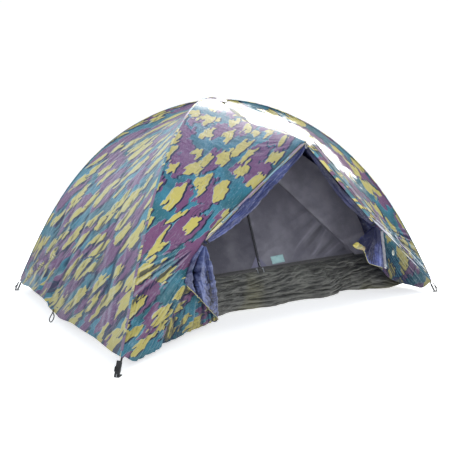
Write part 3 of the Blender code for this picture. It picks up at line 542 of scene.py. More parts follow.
def camo_material(name, angle, shift=(0.0, 0.0), tint=None, tint_fac=0.0, rough=0.42, coat=(0.4, 0.26, 1.5), streak=0.6, size=1.0, crown=False,
                  glossy=False, group=None, spec=0.28):
    m, k, b = material(name)
    uv = k.uv()
    mp = k.new("ShaderNodeMapping")
    k.put(mp, Vector=uv)
    mp.inputs["Location"].default_value = (*shift, 0.0)
    mp.inputs["Rotation"].default_value = (0, 0, -math.radians(angle))
    mp.inputs["Scale"].default_value = (1 / size, 1 / size, 1)
    # the cut cloth isn't printed dead straight
    wob = k.noise(uv, 1.7, 1.0, out="Color")
    v = k.vec("ADD", mp.outputs[0], k.vec("SCALE", k.vec("SUBTRACT", wob, (0.5, 0.5, 0.5)), scale=0.10))
    grp = k.new("ShaderNodeGroup")
    grp.node_tree = group or CAMO
    k.put(grp, Vector=v)
    col = grp.outputs[0]
    worn = k.noise(uv, 3.2, 3.0, 0.6)
    col = k.mix(k.math("MULTIPLY", k.ramp(worn, 0.45, 0.75), 0.06), col, (0.62, 0.66, 0.74))
    # a colour mixed over the whole print: on several panels below it is painted shade, on others painted sheen or
    # highlight, and on the rim and corner pieces the cloth's own colour
    if tint:
        col = k.mix(tint_fac, col, tint)
    # darker towards the ground
    low = k.new("ShaderNodeSeparateXYZ")
    k.put(low, i0=k.position())
    darker_low = k.ramp(k.math("MULTIPLY_ADD", worn, 0.30, low.outputs[2]), 0.85, 0.10)
    col = k.mix(k.math("MULTIPLY", darker_low, 0.34), col, (0.012, 0.022, 0.035))
    # weave: fine crossed threads with a heavier thread each 5 mm
    wx = k.new("ShaderNodeTexWave", wave_type="BANDS", bands_direction="X", wave_profile="SIN")
    wy = k.new("ShaderNodeTexWave", wave_type="BANDS", bands_direction="Y", wave_profile="SIN")
    k.put(wx, Vector=uv, Scale=62.0)
    k.put(wy, Vector=uv, Scale=62.0)
    weave = k.math("MAXIMUM", wx.outputs["Fac"], wy.outputs["Fac"])
    col = k.mix(k.math("MULTIPLY", k.ramp(weave, 0.92, 1.0), 0.10), col, (0.75, 0.8, 0.85))
    crush = k.noise(uv, 26.0, 3.0, 0.62, distortion=0.6)
    pull = k.noise(k.vec("MULTIPLY", mp.outputs[0], (9.0, 60.0, 1.0)), 1.0, 2.0, 0.6)
    # sharp little creases: painted shade in the valleys, painted highlight along the crests
    lines = k.noise(k.vec("ADD", k.vec("MULTIPLY", mp.outputs[0], (13.0, 74.0, 1.0)), (4.0, 9.0, 0.0)), 1.0, 2.0, 0.5)
    where = k.ramp(k.noise(k.vec("ADD", uv, (7.0, 3.0, 0.0)), 4.5, 1.0), 0.34, 0.62)
    valley_shade = k.ramp(k.math("ABSOLUTE", k.math("SUBTRACT", lines, 0.46)), 0.028, 0.0)
    crest_highlight = k.ramp(k.math("ABSOLUTE", k.math("SUBTRACT", lines, 0.55)), 0.030, 0.0)
    col = k.mix(k.math("MULTIPLY", k.math("MULTIPLY", valley_shade, where), 0.55 * streak), col, (0.020, 0.035, 0.085))
    col = k.mix(k.math("MULTIPLY", k.math("MULTIPLY", crest_highlight, where), 0.20 * streak), col, (0.66, 0.76, 0.88))
    # painted shade in the folds and painted highlight on their crests, from the fold attribute
    col = k.shade_folds(col, (0.012, 0.024, 0.060), 0.80, (0.70, 0.80, 0.90), 0.16)
    if crown:
        # painted shade, as away from the light: the print is darker and bluer towards the top
        col = k.mix(k.math("MULTIPLY", k.ramp(low.outputs[2], 0.50, 1.05), 0.28), col, (0.016, 0.045, 0.18))
    if glossy:
        # painted highlight and painted shade: pale and dark streaks, as of lit and shaded pleats, beside the door's
        # edge
        away = k.new("ShaderNodeAttribute", attribute_type="GEOMETRY", attribute_name="seam").outputs["Fac"]
        # painted highlight: near white where the crease meets the crown
        pale = k.math("MULTIPLY", k.ramp(away, 0.060, 0.015), k.ramp(low.outputs[2], 1.06, 1.14))
        col = k.mix(k.math("MULTIPLY", pale, 0.62), col, (0.90, 0.92, 0.95))
        run = k.new("ShaderNodeCombineXYZ")
        k.put(run, i0=k.math("MULTIPLY", away, 150.0), i1=k.math("MULTIPLY", low.outputs[2], 3.4), i2=0.0)
        grain = k.noise(run.outputs[0], 1.0, 1.0, 0.5)
        zone = k.math("MULTIPLY", k.ramp(away, 0.125, 0.040), k.ramp(low.outputs[2], 0.92, 0.84))
        col = k.mix(k.math("MULTIPLY", k.math("MULTIPLY", k.ramp(grain, 0.45, 0.38), zone), 0.55), col, (0.012, 0.020, 0.060))
        col = k.mix(k.math("MULTIPLY", k.math("MULTIPLY", k.ramp(grain, 0.53, 0.61), zone), 0.62), col, (0.80, 0.86, 0.92))
    n = k.bump(weave, 0.10, 0.0003)
    n = k.bump(crush, 0.42, 0.0065, n)
    n = k.bump(pull, 0.42, 0.0045, n)
    n = k.bump(k.math("SUBTRACT", crest_highlight, valley_shade), 0.5 * streak, 0.0016, n)
    k.put(b, Base_Color=col, Roughness=k.math("MULTIPLY_ADD", crush, 0.10, rough - 0.05), Normal=n)
    b.inputs["Specular IOR Level"].default_value = spec
    b.inputs["Sheen Weight"].default_value = 0.05
    b.inputs["Sheen Roughness"].default_value = 0.35
    b.inputs["Coat Weight"].default_value = coat[0]
    if crown:
        top = k.new("ShaderNodeSeparateXYZ")
        k.put(top, i0=k.position())
        k.put(b, Coat_Weight=k.math("MULTIPLY_ADD", k.ramp(top.outputs[2], 1.13, 1.19), 1.0 - coat[0], coat[0]),
              Coat_IOR=k.math("MULTIPLY_ADD", k.ramp(top.outputs[2], 1.13, 1.19), 0.5, coat[2]))
    if glossy:
        # the coating is polished away along the pole
        gl = k.new("ShaderNodeAttribute", attribute_type="GEOMETRY", attribute_name="gloss").outputs["Fac"]
        k.put(b, Coat_Weight=k.math("MULTIPLY", gl, coat[0]))
    b.inputs["Coat Roughness"].default_value = coat[1]
    b.inputs["Coat IOR"].default_value = coat[2]
    return m


def coated_material(name, colour, dark, rough=0.36, scale=1.0, deep=None, light=0.30):
    """The coated inner side of the flysheet: smooth, shiny, creased."""
    m, k, b = material(name)
    uv = k.uv()
    big = k.noise(uv, 5.0 * scale, 3.0, 0.55, distortion=0.8)
    col = k.mix(k.ramp(big, 0.35, 0.7), dark, colour)
    spot = k.noise(uv, 90.0, 2.0, 0.6)
    col = k.mix(k.math("MULTIPLY", k.ramp(spot, 0.55, 0.8), 0.16), col, (0.55, 0.58, 0.78))
    crush = k.noise(uv, 34.0 * scale, 4.0, 0.62, distortion=1.2)
    fold = k.math("ABSOLUTE", k.math("SUBTRACT", k.noise(k.vec("MULTIPLY", uv, (14.0 * scale, 30.0 * scale, 1.0)), 1.0, 2.0, 0.55, distortion=0.5), 0.5))
    # painted shade along the crease lines
    col = k.mix(k.math("MULTIPLY", k.ramp(fold, 0.035, 0.0), 0.55), col, dark)
    # painted shade in the folds, deep being its colour, and painted highlight on the crests
    col = k.shade_folds(col, deep or tuple(0.10 * c for c in dark), 0.92, (0.27, 0.32, 0.56), light)
    n = k.bump(k.math("MULTIPLY", fold, -2.0), 0.6, 0.008)
    n = k.bump(crush, 0.45, 0.004, n)
    k.put(b, Base_Color=col, Roughness=k.math("MULTIPLY_ADD", crush, 0.14, rough - 0.07), Normal=n)
    b.inputs["Coat Weight"].default_value = 0.35
    b.inputs["Coat Roughness"].default_value = 0.22
    return m


# panel cloths: the print runs up the slope on the sides and nearly level across the front
# the pale blue tint here is a painted sheen
M_SIDE = camo_material("camouflage_side", 49.0, (1.30, 0.62), rgb("8db4e4"), 0.045, coat=(0.18, 0.30, 1.5), streak=0.7, size=1.22, group=CAMO_WIDE, spec=0.22)
M_FRONT = camo_material("camouflage_front", 37.0, (0.95, 0.42), coat=(0.04, 0.25, 1.5), streak=0.8, size=0.94, crown=True, spec=0.12)
# the dark tint here is painted shade
M_FRONT_R = camo_material("camouflage_front_right", 118.0, (1.7, 2.3), (0.012, 0.035, 0.06), 0.26, coat=(1.0, 0.16, 2.0), streak=0.5, glossy=True, spec=0.10)
# the dark tint here is painted shade, for a flap hanging in shade
M_FLAP_R = camo_material("camouflage_flap_right", 98.0, (5.3, 2.2), (0.004, 0.014, 0.020), 0.52, coat=(0.02, 0.30, 1.5), streak=0.5, size=1.15, spec=0.06)
M_REAR = camo_material("camouflage_rear", 24.0, (4.3, 1.9))
# the pale blue tint here is a painted sheen along the seam
M_SEAM = camo_material("camouflage_seam", 52.0, (2.2, 5.1), rgb("a8bccb"), 0.16, coat=(0.5, 0.25, 1.5), streak=0.8)
M_COAT = coated_material("coated_inside", rgb("55608f"), rgb("2a3056"))
M_COAT_DARK = coated_material("coated_underside", rgb("4a5084"), rgb("2f3460"))


# ------------------------------------------------------------------ flysheet panels
def edge_fall(n, m, width_rows, width_cols):
    """1 in the middle of a grid, 0 at its edges."""
    i, j = np.arange(n)[:, None], np.arange(m)[None, :]
    a = np.minimum(i, n - 1 - i) / width_rows
    b = np.minimum(j, m - 1 - j) / width_cols
    return smooth(0, 1, a) * smooth(0, 1, b)


def slope_uv(g, axis, sign=1.0):
    """u: along the given row axis; v: up the slope, measured along the middle column."""
    mid = g[:, g.shape[1] // 2]
    d = np.concatenate(([0.0], np.cumsum(np.linalg.norm(np.diff(mid, axis=0), axis=1))))
    z = mid[:, 2]
    o = np.argsort(z)
    v = np.interp(g[..., 2], z[o], (d[-1] - d)[o])
    return np.stack([sign * g[..., axis], v], -1)


def plane_uv(g):
    n0 = normals(g).reshape(-1, 3).mean(0)
    n0 /= np.linalg.norm(n0)
    if n0[2] < 0:
        n0 = -n0
    e1 = np.cross([0, 0, 1.0], n0)
    e1 /= np.linalg.norm(e1)
    e2 = np.cross(n0, e1)
    return np.stack([g @ e1, g @ e2], -1)


LEVELS = 4
FOLDS, GLOSS, SEAM = {}, {}, {}


def trimmed(g, amount, first=True, last=True):
    g = g.copy()
    for on, a, b in ((first, 0, 1), (last, -1, -2)):
        if on:
            d = g[:, b] - g[:, a]
            g[:, a] += d / np.maximum(np.linalg.norm(d, axis=1), 1e-9)[:, None] * amount
    return g


def out_normals(g):
    n = normals(g)
    c = g.reshape(-1, 3).mean(0) - np.array([0, 0, 0.3])
    return n if (n.reshape(-1, 3) @ c).mean() > 0 else -n


HEM_Y = [-0.83, -0.72, -0.60, -0.466, -0.32, -0.154, 0.0, 0.067, 0.10, 0.123, 0.231, 0.345, 0.547, 0.748, 0.83]
HEM_Z = [0.064, 0.070, 0.075, 0.076, 0.071, 0.056, 0.058, 0.068, 0.088, 0.097, 0.092, 0.093, 0.086, 0.063, 0.060]


def make_side(sx):
    g = membrane(side_edges(sx), 16, 8, LEVELS)
    n, m = g.shape[:2]
    uv = slope_uv(g, 1, -1.0 if sx < 0 else 1.0)
    nr = out_normals(g)
    u, v = uv[..., 0], uv[..., 1]
    fall = edge_fall(n, m, n * 0.06, m * 0.10)
    low = smooth(1.5, 0.2, v)
    # pulls that run from the corners up the slope, and slack rolls low down
    h = 0.0045 * fbm(u * 9.0 + v * 2.5, v * 1.5 - u * 0.6, 11, 3) * (0.35 + 0.65 * low)
    h += 0.0060 * fbm(u * 3.0 - v * 1.6, v * 1.3 + u * 0.8, 21, 2) * (0.3 + 0.7 * low)
    h += 0.0016 * fbm(u * 26.0 + v * 9.0, v * 6.0, 31, 2)
    # crushed creases that run with the print
    h += 0.0022 * (1 - 2.6 * np.abs(perlin(u * 20.0 - v * 13.0, v * 3.0 + u * 2.2, 35))) * (0.4 + 0.6 * low)
    FOLDS["side_left" if sx < 0 else "side_right"] = relief(h * fall, 16, 0.0030)
    g = g + nr * (h * fall)[..., None]
    # the hem ripples a little
    i = np.arange(n)[:, None]
    hem = smooth(n * 0.90, n - 1, i)
    g[..., 0] += sx * -0.0035 * hem * (1 + np.sin(u * 21.0 + 1.0)) * np.sin(np.pi * np.linspace(0, 1, m))[None]
    # the hem's own line: it lifts towards the slack rear corner and is drawn down at the peg loop
    want = np.interp(g[-1, :, 1], HEM_Y, HEM_Z)
    ends = smooth(0, 1, np.minimum(np.arange(m), m - 1 - np.arange(m)) / (0.06 * m))
    g[..., 2] += smooth(n * 0.80, n - 1, i) * ((want - g[-1, :, 2]) * ends)[None]
    # the slack at the rear corner lies in two folds
    y, z = g[..., 1], g[..., 2]
    out = nr * (smooth(0.78, 0.70, y) * ends[None])[..., None]

    def fold(pts, height, wide, groove):
        a = smooth_path([(0.0, *q) for q in pts], 40)[:, 1:]
        d = np.sqrt(((np.stack([y, z], -1)[..., None, :] - a) ** 2).sum(-1))
        k = d.argmin(-1)
        along = k / (len(a) - 1)
        side = np.where(y < a[k, 0] + (z - a[k, 1]) * 0.3, 1.0, -1.0)
        e = d.min(-1)
        fade = smooth(0, 0.25, along) * smooth(0, 0.12, 1.02 - along * 0.9)
        return (height * np.exp(-(e / wide) ** 2) - groove * np.exp(-((e * side - 1.5 * wide) / wide) ** 2)) * fade
    g += out * (fold([(0.20, 0.42), (0.33, 0.335), (0.57, 0.22), (0.72, 0.147), (0.84, 0.075)], 0.010, 0.020, 0.009)
                + fold([(0.24, 0.33), (0.28, 0.26), (0.31, 0.18), (0.315, 0.10)], 0.014, 0.016, 0.008)
                + fold([(0.10, 0.36), (0.13, 0.26), (0.12, 0.17), (0.115, 0.10)], 0.012, 0.018, 0.009))[..., None]
    return trimmed(g, 0.002), uv


def make_front(sx):
    g = membrane(front_edges(sx), 16, 6, LEVELS)
    n, m = g.shape[:2]
    uv = plane_uv(g)
    nr = out_normals(g)
    u, v = uv[..., 0], uv[..., 1]
    fall = edge_fall(n, m, n * 0.05, m * 0.14)
    low = smooth(0.75, 0.25, g[..., 2])
    j = np.linspace(0, 1, m)[None, :]
    # pleats that run down the narrow part beside the pole
    h = 0.0040 * fbm(j * 7.0, v * 1.6, 41, 3) * low
    h += 0.0022 * fbm(u * 7.0, v * 5.0, 51, 3) * (1 - 0.5 * low)
    h += 0.0010 * fbm(u * 30.0 + v * 30.0, v * 9.0 - u * 9.0, 61, 2)
    # pulls that fan out from the peak
    d = g - PEAK
    r = np.linalg.norm(d, axis=2)
    ang = np.arctan2(d[..., 2], d[..., 0] * sx)
    h += 0.0030 * np.sin(ang * 34.0) * np.exp(-((r - 0.05) / 0.16) ** 2) * smooth(0.0, 0.05, r)
    # pulls from the tie down to the hem and the pole's foot
    q = g - mirror(TIE, sx)
    rt = np.linalg.norm(q, axis=2)
    at = np.arctan2(q[..., 2], q[..., 0] * sx)
    below = smooth(0.05, -0.10, q[..., 2]) * smooth(0.02, 0.12, rt)
    h += 0.0066 * (1 - 2.5 * np.abs(perlin(at * 9.0, rt * 1.2, 64))) * below
    h += 0.0022 * (1 - 2.5 * np.abs(perlin(at * 21.0, rt * 2.6, 65))) * below
    FOLDS["front_left" if sx < 0 else "front_right"] = relief(h * fall, 14, 0.0030)
    g = g + nr * (h * fall)[..., None]
    away = np.linalg.norm(g - g[:, :1], axis=2) + 0.030 * fbm(u * 14.0, v * 14.0, 66, 3)
    bare = np.interp(g[..., 2], [0.3, 0.6, 1.0, 1.12, 1.20], [0.20, 0.165, 0.108, 0.062, 0.012])
    GLOSS["front_left" if sx < 0 else "front_right"] = smooth(-0.012, 0.012, away - bare)
    SEAM["front_left" if sx < 0 else "front_right"] = np.linalg.norm(g - g[:, -1:], axis=2)
    return trimmed(g, 0.002), uv


def make_rear():
    g = membrane(rear_edges, 16, 8, LEVELS)
    # the end of the ridge pole lifts the cloth
    n, m = g.shape[:2]
    uv = slope_uv(g, 0, -1.0)
    c = np.array([0.0, 0.40])
    d = np.linalg.norm(g[..., :2] - c, axis=2)
    base = g[int(4 * (n - 1) / 16), m // 2]
    lift = 1.0905 - base[2]
    g[..., 2] += max(lift, 0) * np.exp(-d / 0.16) * smooth(0, 0.3, np.minimum(np.arange(m), m - 1 - np.arange(m))[None, :] / m + 0.0 * d)
    u, v = uv[..., 0], uv[..., 1]
    fall = edge_fall(n, m, n * 0.06, m * 0.10)
    h = 0.004 * fbm(u * 8.0, v * 1.6, 71, 3) + 0.0016 * fbm(u * 24.0, v * 8.0, 81, 2)
    FOLDS["rear"] = relief(h * fall, 16, 0.0035)
    g = g + out_normals(g) * (h * fall)[..., None]
    return trimmed(g, 0.002), uv


def fly_panel(name, data, mat):
    g, uv = data
    n = normals(g)
    flip = float(np.sum(n * out_normals(g))) < 0
    ob = shell(name, g, (mat, M_COAT_DARK), uv, 0.0009, flip, FOLDS[name.replace("cloth_", "")])
    for word, table in (("gloss", GLOSS), ("seam", SEAM)):
        if name.replace("cloth_", "") in table:
            val = table[name.replace("cloth_", "")].ravel()
            ob.data.attributes.new(word, "FLOAT", "POINT").data.foreach_set("value", np.concatenate([val] * 2).astype(np.float32))
    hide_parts(name.replace("cloth_", "fly_"))
    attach(ob, "tent")
    declare(g)
    return ob


FRONT_L, FRONT_R = make_front(-1), make_front(1)
SIDE_L, SIDE_R = make_side(-1), make_side(1)
REAR = make_rear()
fly_panel("cloth_side_left", SIDE_L, M_SIDE)
fly_panel("cloth_side_right", SIDE_R, M_SIDE)
fly_panel("cloth_front_left", FRONT_L, M_FRONT)
fly_panel("cloth_front_right", FRONT_R, M_FRONT_R)
fly_panel("cloth_rear", REAR, M_REAR)


# ------------------------------------------------------------------ more materials
def cloth_material(name, light, dark, rough=0.55, sheen=0.2, weave_scale=120.0, crush_scale=30.0, crush=0.25, spots=None):
    """A plain woven cloth: fine threads, soft mottling and small creases."""
    m, k, b = material(name)
    p = k.position()
    mottle = k.noise(p, 6.0, 3.0, 0.55, dims="3D")
    col = k.mix(k.ramp(mottle, 0.35, 0.68), dark, light)
    fine = k.noise(p, 160.0, 2.0, 0.6, dims="3D")
    col = k.mix(k.math("MULTIPLY", k.ramp(fine, 0.52, 0.75), 0.14), col, tuple(min(1, 1.8 * c + 0.02) for c in light))
    if spots:
        sp = k.noise(k.vec("ADD", p, (3.3, 1.7, 9.1)), 3.1, 1.0, 0.5, dims="3D")
        col = k.mix(k.math("MULTIPLY", k.ramp(sp, 0.60, 0.72), 0.5), col, spots)
    wa = k.new("ShaderNodeTexWave", wave_type="BANDS", bands_direction="X", wave_profile="SIN")
    wb = k.new("ShaderNodeTexWave", wave_type="BANDS", bands_direction="Z", wave_profile="SIN")
    k.put(wa, Vector=p, Scale=weave_scale)
    k.put(wb, Vector=p, Scale=weave_scale)
    weave = k.math("MAXIMUM", wa.outputs["Fac"], wb.outputs["Fac"])
    # painted shade in the folds and painted highlight on the crests
    col = k.shade_folds(col, tuple(0.35 * c for c in dark), 0.75, tuple(min(1, 1.9 * c) for c in light), 0.40)
    n = k.bump(weave, 0.12, 0.0004)
    n = k.bump(k.noise(p, crush_scale, 4.0, 0.62, dims="3D", distortion=0.8), crush, 0.005, n)
    k.put(b, Base_Color=col, Roughness=k.math("MULTIPLY_ADD", mottle, 0.16, rough - 0.08), Normal=n)
    b.inputs["Sheen Weight"].default_value = sheen
    b.inputs["Sheen Roughness"].default_value = 0.4
    return m


def webbing_material(name, light, dark, rib=(1, 0, 0), pitch=0.0018):
    m, k, b = material(name)
    p = k.position()
    d = k.new("ShaderNodeVectorMath", operation="DOT_PRODUCT")
    k.put(d, i0=p, i1=rib)
    ribs = k.math("SINE", k.math("MULTIPLY", d.outputs["Value"], 2 * math.pi / pitch))
    ribs = k.math("MULTIPLY_ADD", ribs, 0.5, 0.5)
    worn = k.noise(p, 60.0, 3.0, 0.6, dims="3D")
    col = k.mix(k.math("MULTIPLY", ribs, k.ramp(worn, 0.2, 0.8)), dark, light)
    n = k.bump(ribs, 0.5, 0.0006)
    n = k.bump(worn, 0.25, 0.0006, n)
    k.put(b, Base_Color=col, Roughness=k.math("MULTIPLY_ADD", worn, 0.2, 0.6), Normal=n)
    b.inputs["Sheen Weight"].default_value = 0.3
    return m


def metal_material(name, colour, dark, rough=0.28, metallic=1.0, scratch=0.25):
    m, k, b = material(name)
    p = k.position()
    s = k.noise(k.vec("MULTIPLY", p, (60.0, 60.0, 900.0)), 1.0, 3.0, 0.6, dims="3D")
    patch = k.noise(p, 45.0, 3.0, 0.6, dims="3D")
    col = k.mix(k.ramp(patch, 0.4, 0.75), colour, dark)
    n = k.bump(s, scratch, 0.0002)
    k.put(b, Base_Color=col, Roughness=k.math("MULTIPLY_ADD", s, 0.22, rough - 0.06), Normal=n)
    b.inputs["Metallic"].default_value = metallic
    return m


def plastic_material(name, colour, worn_colour, rough=0.42):
    m, k, b = material(name)
    p = k.position()
    grain = k.noise(p, 900.0, 2.0, 0.5, dims="3D")
    dust = k.noise(p, 38.0, 4.0, 0.6, dims="3D")
    col = k.mix(k.math("MULTIPLY", k.ramp(dust, 0.5, 0.8), 0.55), colour, worn_colour)
    k.put(b, Base_Color=col, Roughness=k.math("MULTIPLY_ADD", dust, 0.25, rough - 0.1), Normal=k.bump(grain, 0.25, 0.0002))
    b.inputs["Coat Weight"].default_value = 0.1
    return m


def tub_material():
    """Coated groundsheet: dull olive-grey, creased in long flat folds with sharp edges."""
    m, k, b = material("groundsheet")
    uv = k.uv()
    drift = k.vec("MULTIPLY", k.vec("SUBTRACT", k.noise(uv, 4.0, 2.0, out="Color"), (0.5, 0.5, 0.5)), (0.0, 0.10, 0.0))
    q = k.vec("ADD", uv, drift)
    long_a = k.noise(k.vec("MULTIPLY", q, (8.0, 62.0, 1.0)), 1.0, 3.0, 0.55)
    long_b = k.noise(k.vec("ADD", k.vec("MULTIPLY", q, (20.0, 140.0, 1.0)), (5.0, 2.0, 0.0)), 1.0, 2.0, 0.55)
    ridge_a = k.math("ABSOLUTE", k.math("SUBTRACT", long_a, 0.5))
    ridge_b = k.math("ABSOLUTE", k.math("SUBTRACT", long_b, 0.5))
    crease = k.math("ADD", k.math("MULTIPLY", ridge_a, -2.2), k.math("MULTIPLY", ridge_b, -0.9))
    mottle = k.noise(uv, 9.0, 3.0, 0.6)
    col = k.mix(k.ramp(mottle, 0.35, 0.7), rgb("545450"), rgb("6a6a64"))
    # painted shade along the main crease lines
    col = k.mix(k.math("MULTIPLY", k.ramp(ridge_a, 0.045, 0.0), 0.45), col, rgb("2e2d2b"))
    stain = k.noise(k.vec("ADD", uv, (3.3, 1.2, 0.0)), 3.0, 1.0)
    col = k.mix(k.math("MULTIPLY", k.ramp(stain, 0.60, 0.72), 0.30), col, rgb("7b7638"))
    # painted shade in the folds and painted highlight on the crests
    col = k.shade_folds(col, (0.012, 0.012, 0.012), 0.66, (0.20, 0.20, 0.18), 0.42)
    n = k.bump(crease, 0.75, 0.010)
    n = k.bump(k.noise(uv, 60.0, 3.0, 0.6), 0.30, 0.0018, n)
    k.put(b, Base_Color=col, Roughness=k.math("MULTIPLY_ADD", mottle, 0.16, 0.34), Normal=n)
    b.inputs["Coat Weight"].default_value = 0.15
    return m


# one inner cloth in four greys, each lighter or darker for where it stands: painted light and shade
M_WALL = cloth_material("inner_polyester", rgb("7d7b84"), rgb("66646e"), 0.42, 0.25, 110.0, 16.0, 0.30)
M_WALL_L = cloth_material("inner_polyester_left", rgb("69676f"), rgb("504e58"), 0.42, 0.22, 110.0, 16.0, 0.30)
M_WALL_F = cloth_material("inner_polyester_side", rgb("888690"), rgb("706e78"), 0.46, 0.2, 110.0, 16.0, 0.30)
M_WALL_R = cloth_material("inner_polyester_far", rgb("6f6d77"), rgb("5a5863"), 0.45, 0.2, 110.0, 18.0, 0.30)
M_TUB = tub_material()
M_TAPE = webbing_material("zip_tape", rgb("a6a6ae"), rgb("7a7982"), (0, 0.3, 0.95), 0.0016)
M_TAPE_DARK = webbing_material("inner_zip_tape", rgb("3c3b45"), rgb("25242c"), (0, 0.4, 0.9), 0.0016)
M_COIL = webbing_material("zip_coil", rgb("24242c"), rgb("0a0a0e"), (0.2, 0.3, 0.9), 0.0022)
M_WEB = webbing_material("webbing", rgb("2c2c30"), rgb("101013"), (0.5, 0.3, 0.8), 0.0017)
M_WHITE_WEB = webbing_material("white_loop", rgb("e4e2dc"), rgb("a9a7a4"), (0.3, 0.2, 0.9), 0.0016)
M_STEEL = metal_material("zinc_steel", rgb("c2c4c8"), rgb("8b8e94"), 0.26)
M_BLACK = plastic_material("black_plastic", rgb("17171a"), rgb("4a4a4c"))
M_ROD = plastic_material("fibreglass", rgb("1b1c1f"), rgb("3a3b3f"), 0.24)
M_CORD = webbing_material("shock_cord", rgb("2a2a2e"), rgb("0c0c0e"), (0.2, 0.5, 0.8), 0.0020)


def label_material():
    m, k, b = material("label_cloth")
    uv = k.uv()
    p = k.position()
    mottle = k.noise(p, 30.0, 3.0, 0.6, dims="3D")
    col = k.mix(mottle, rgb("8fb6b8"), rgb("a9c9c8"))
    s = k.new("ShaderNodeSeparateXYZ")
    k.put(s, i0=uv)
    # rows of running stitches inside the edge: u and v run from 0 to 1
    du = k.math("MINIMUM", s.outputs[0], k.math("SUBTRACT", 1.0, s.outputs[0]))
    dv = k.math("MINIMUM", s.outputs[1], k.math("SUBTRACT", 1.0, s.outputs[1]))
    near = k.math("MINIMUM", k.math("MULTIPLY", du, 2.4), dv)
    line = k.math("MULTIPLY", k.math("GREATER_THAN", near, 0.085), k.math("LESS_THAN", near, 0.125))
    dash = k.math("GREATER_THAN", k.math("SINE", k.math("MULTIPLY", k.math("ADD", s.outputs[0], k.math("MULTIPLY", s.outputs[1], 0.42)), 170.0)), -0.35)
    thread = k.math("MULTIPLY", line, dash)
    col = k.mix(k.math("MULTIPLY", thread, 0.8), col, rgb("5f8487"))
    edge = k.math("LESS_THAN", near, 0.03)
    col = k.mix(k.math("MULTIPLY", edge, 0.5), col, rgb("7a9ea0"))
    n = k.bump(mottle, 0.4, 0.0012)
    n = k.bump(thread, 0.6, 0.0005, n)
    n = k.bump(k.noise(p, 400.0, 1.0, dims="3D"), 0.2, 0.0004, n)
    k.put(b, Base_Color=col, Roughness=k.math("MULTIPLY_ADD", mottle, 0.1, 0.5), Normal=n)
    return m


M_LABEL = label_material()


# ------------------------------------------------------------------ helpers for cloth pieces
def cr(P, s):
    """Catmull-Rom through the rows of P at float indices s."""
    P = np.asarray(P, float)
    k = len(P)
    Q = np.concatenate([2 * P[:1] - P[1:2], P, 2 * P[-1:] - P[-2:-1]])
    s = np.clip(np.asarray(s, float), 0, k - 1)
    i = np.minimum(s.astype(int), k - 2)
    t = (s - i).reshape((-1,) + (1,) * (P.ndim - 1))
    a, b, c, d = Q[i], Q[i + 1], Q[i + 2], Q[i + 3]
    return 0.5 * (2 * b + (c - a) * t + (2 * a - 5 * b + 4 * c - d) * t ** 2 + (3 * b - a - 3 * c + d) * t ** 3)


def loft(columns, nr, nc):
    """Dense grid (nr rows, nc columns) through control columns given from top to bottom."""
    C = np.array(columns, float)
    k, r = C.shape[:2]
    rows = cr(np.swapaxes(C, 0, 1), np.linspace(0, r - 1, nr))          # nr, k, 3
    rows = np.swapaxes(rows, 0, 1)                                       # k, nr, 3
    fine = np.linspace(0, k - 1, 600)
    low = cr(rows[:, -1], fine)
    d = np.concatenate(([0.0], np.cumsum(np.linalg.norm(np.diff(low, axis=0), axis=1))))
    s = np.interp(np.linspace(0, d[-1], nc), d, fine)
    return np.swapaxes(cr(rows, s), 0, 1), s


def cone_uv(g, origin, start, turn):
    """Unrolls a fan: angles between columns add up, distances run down the columns."""
    mid = g[int(len(g) * 0.7)]
    top = g[0].mean(0)
    d = mid - top
    d /= np.linalg.norm(d, axis=1)[:, None]
    step = np.arccos(np.clip(np.sum(d[1:] * d[:-1], 1), -1, 1))
    ang = start + turn * np.concatenate(([0.0], np.cumsum(step)))
    r = np.concatenate((np.zeros((1, g.shape[1])), np.cumsum(np.linalg.norm(np.diff(g, axis=0), axis=2), axis=0)))
    return np.stack([origin[0] + r * np.cos(ang)[None], origin[1] + r * np.sin(ang)[None]], -1)


def tube_mesh(name, path, radii, mats, sides=10, slots=None, closed_ends=True):
    pts = [np.array(p, float) for p in path]
    n = len(pts)
    radii = [radii] * n if np.isscalar(radii) else list(radii)
    t0 = pts[1] - pts[0]
    a = np.cross(t0, [0.31, 0.17, 0.93])
    verts, faces, fs = [], [], []
    for i in range(n):
        t = pts[min(i + 1, n - 1)] - pts[max(i - 1, 0)]
        t /= np.linalg.norm(t)
        a = a - t * np.dot(a, t)
        a /= np.linalg.norm(a)
        b = np.cross(t, a)
        for k in range(sides):
            w = 2 * math.pi * k / sides
            verts.append(pts[i] + radii[i] * (math.cos(w) * a + math.sin(w) * b))
    for i in range(n - 1):
        for k in range(sides):
            q = (k + 1) % sides
            faces.append((i * sides + k, i * sides + q, (i + 1) * sides + q, (i + 1) * sides + k))
            fs.append(slots[i] if slots else 0)
    if closed_ends:
        faces.append(tuple(range(sides - 1, -1, -1)))
        faces.append(tuple((n - 1) * sides + k for k in range(sides)))
        fs += [slots[0] if slots else 0, slots[-1] if slots else 0]
    return mesh(name, verts, faces, mats, None, fs, True, 40)


def joined(name, parts, mats):
    """One piece from several (verts, faces, slot) bodies."""
    verts, faces, fs = [], [], []
    for v, f, s in parts:
        o = len(verts)
        verts += [tuple(p) for p in v]
        faces += [tuple(o + i for i in q) for q in f]
        fs += [s] * len(f)
    return mesh(name, verts, faces, mats, None, fs, True, 35)


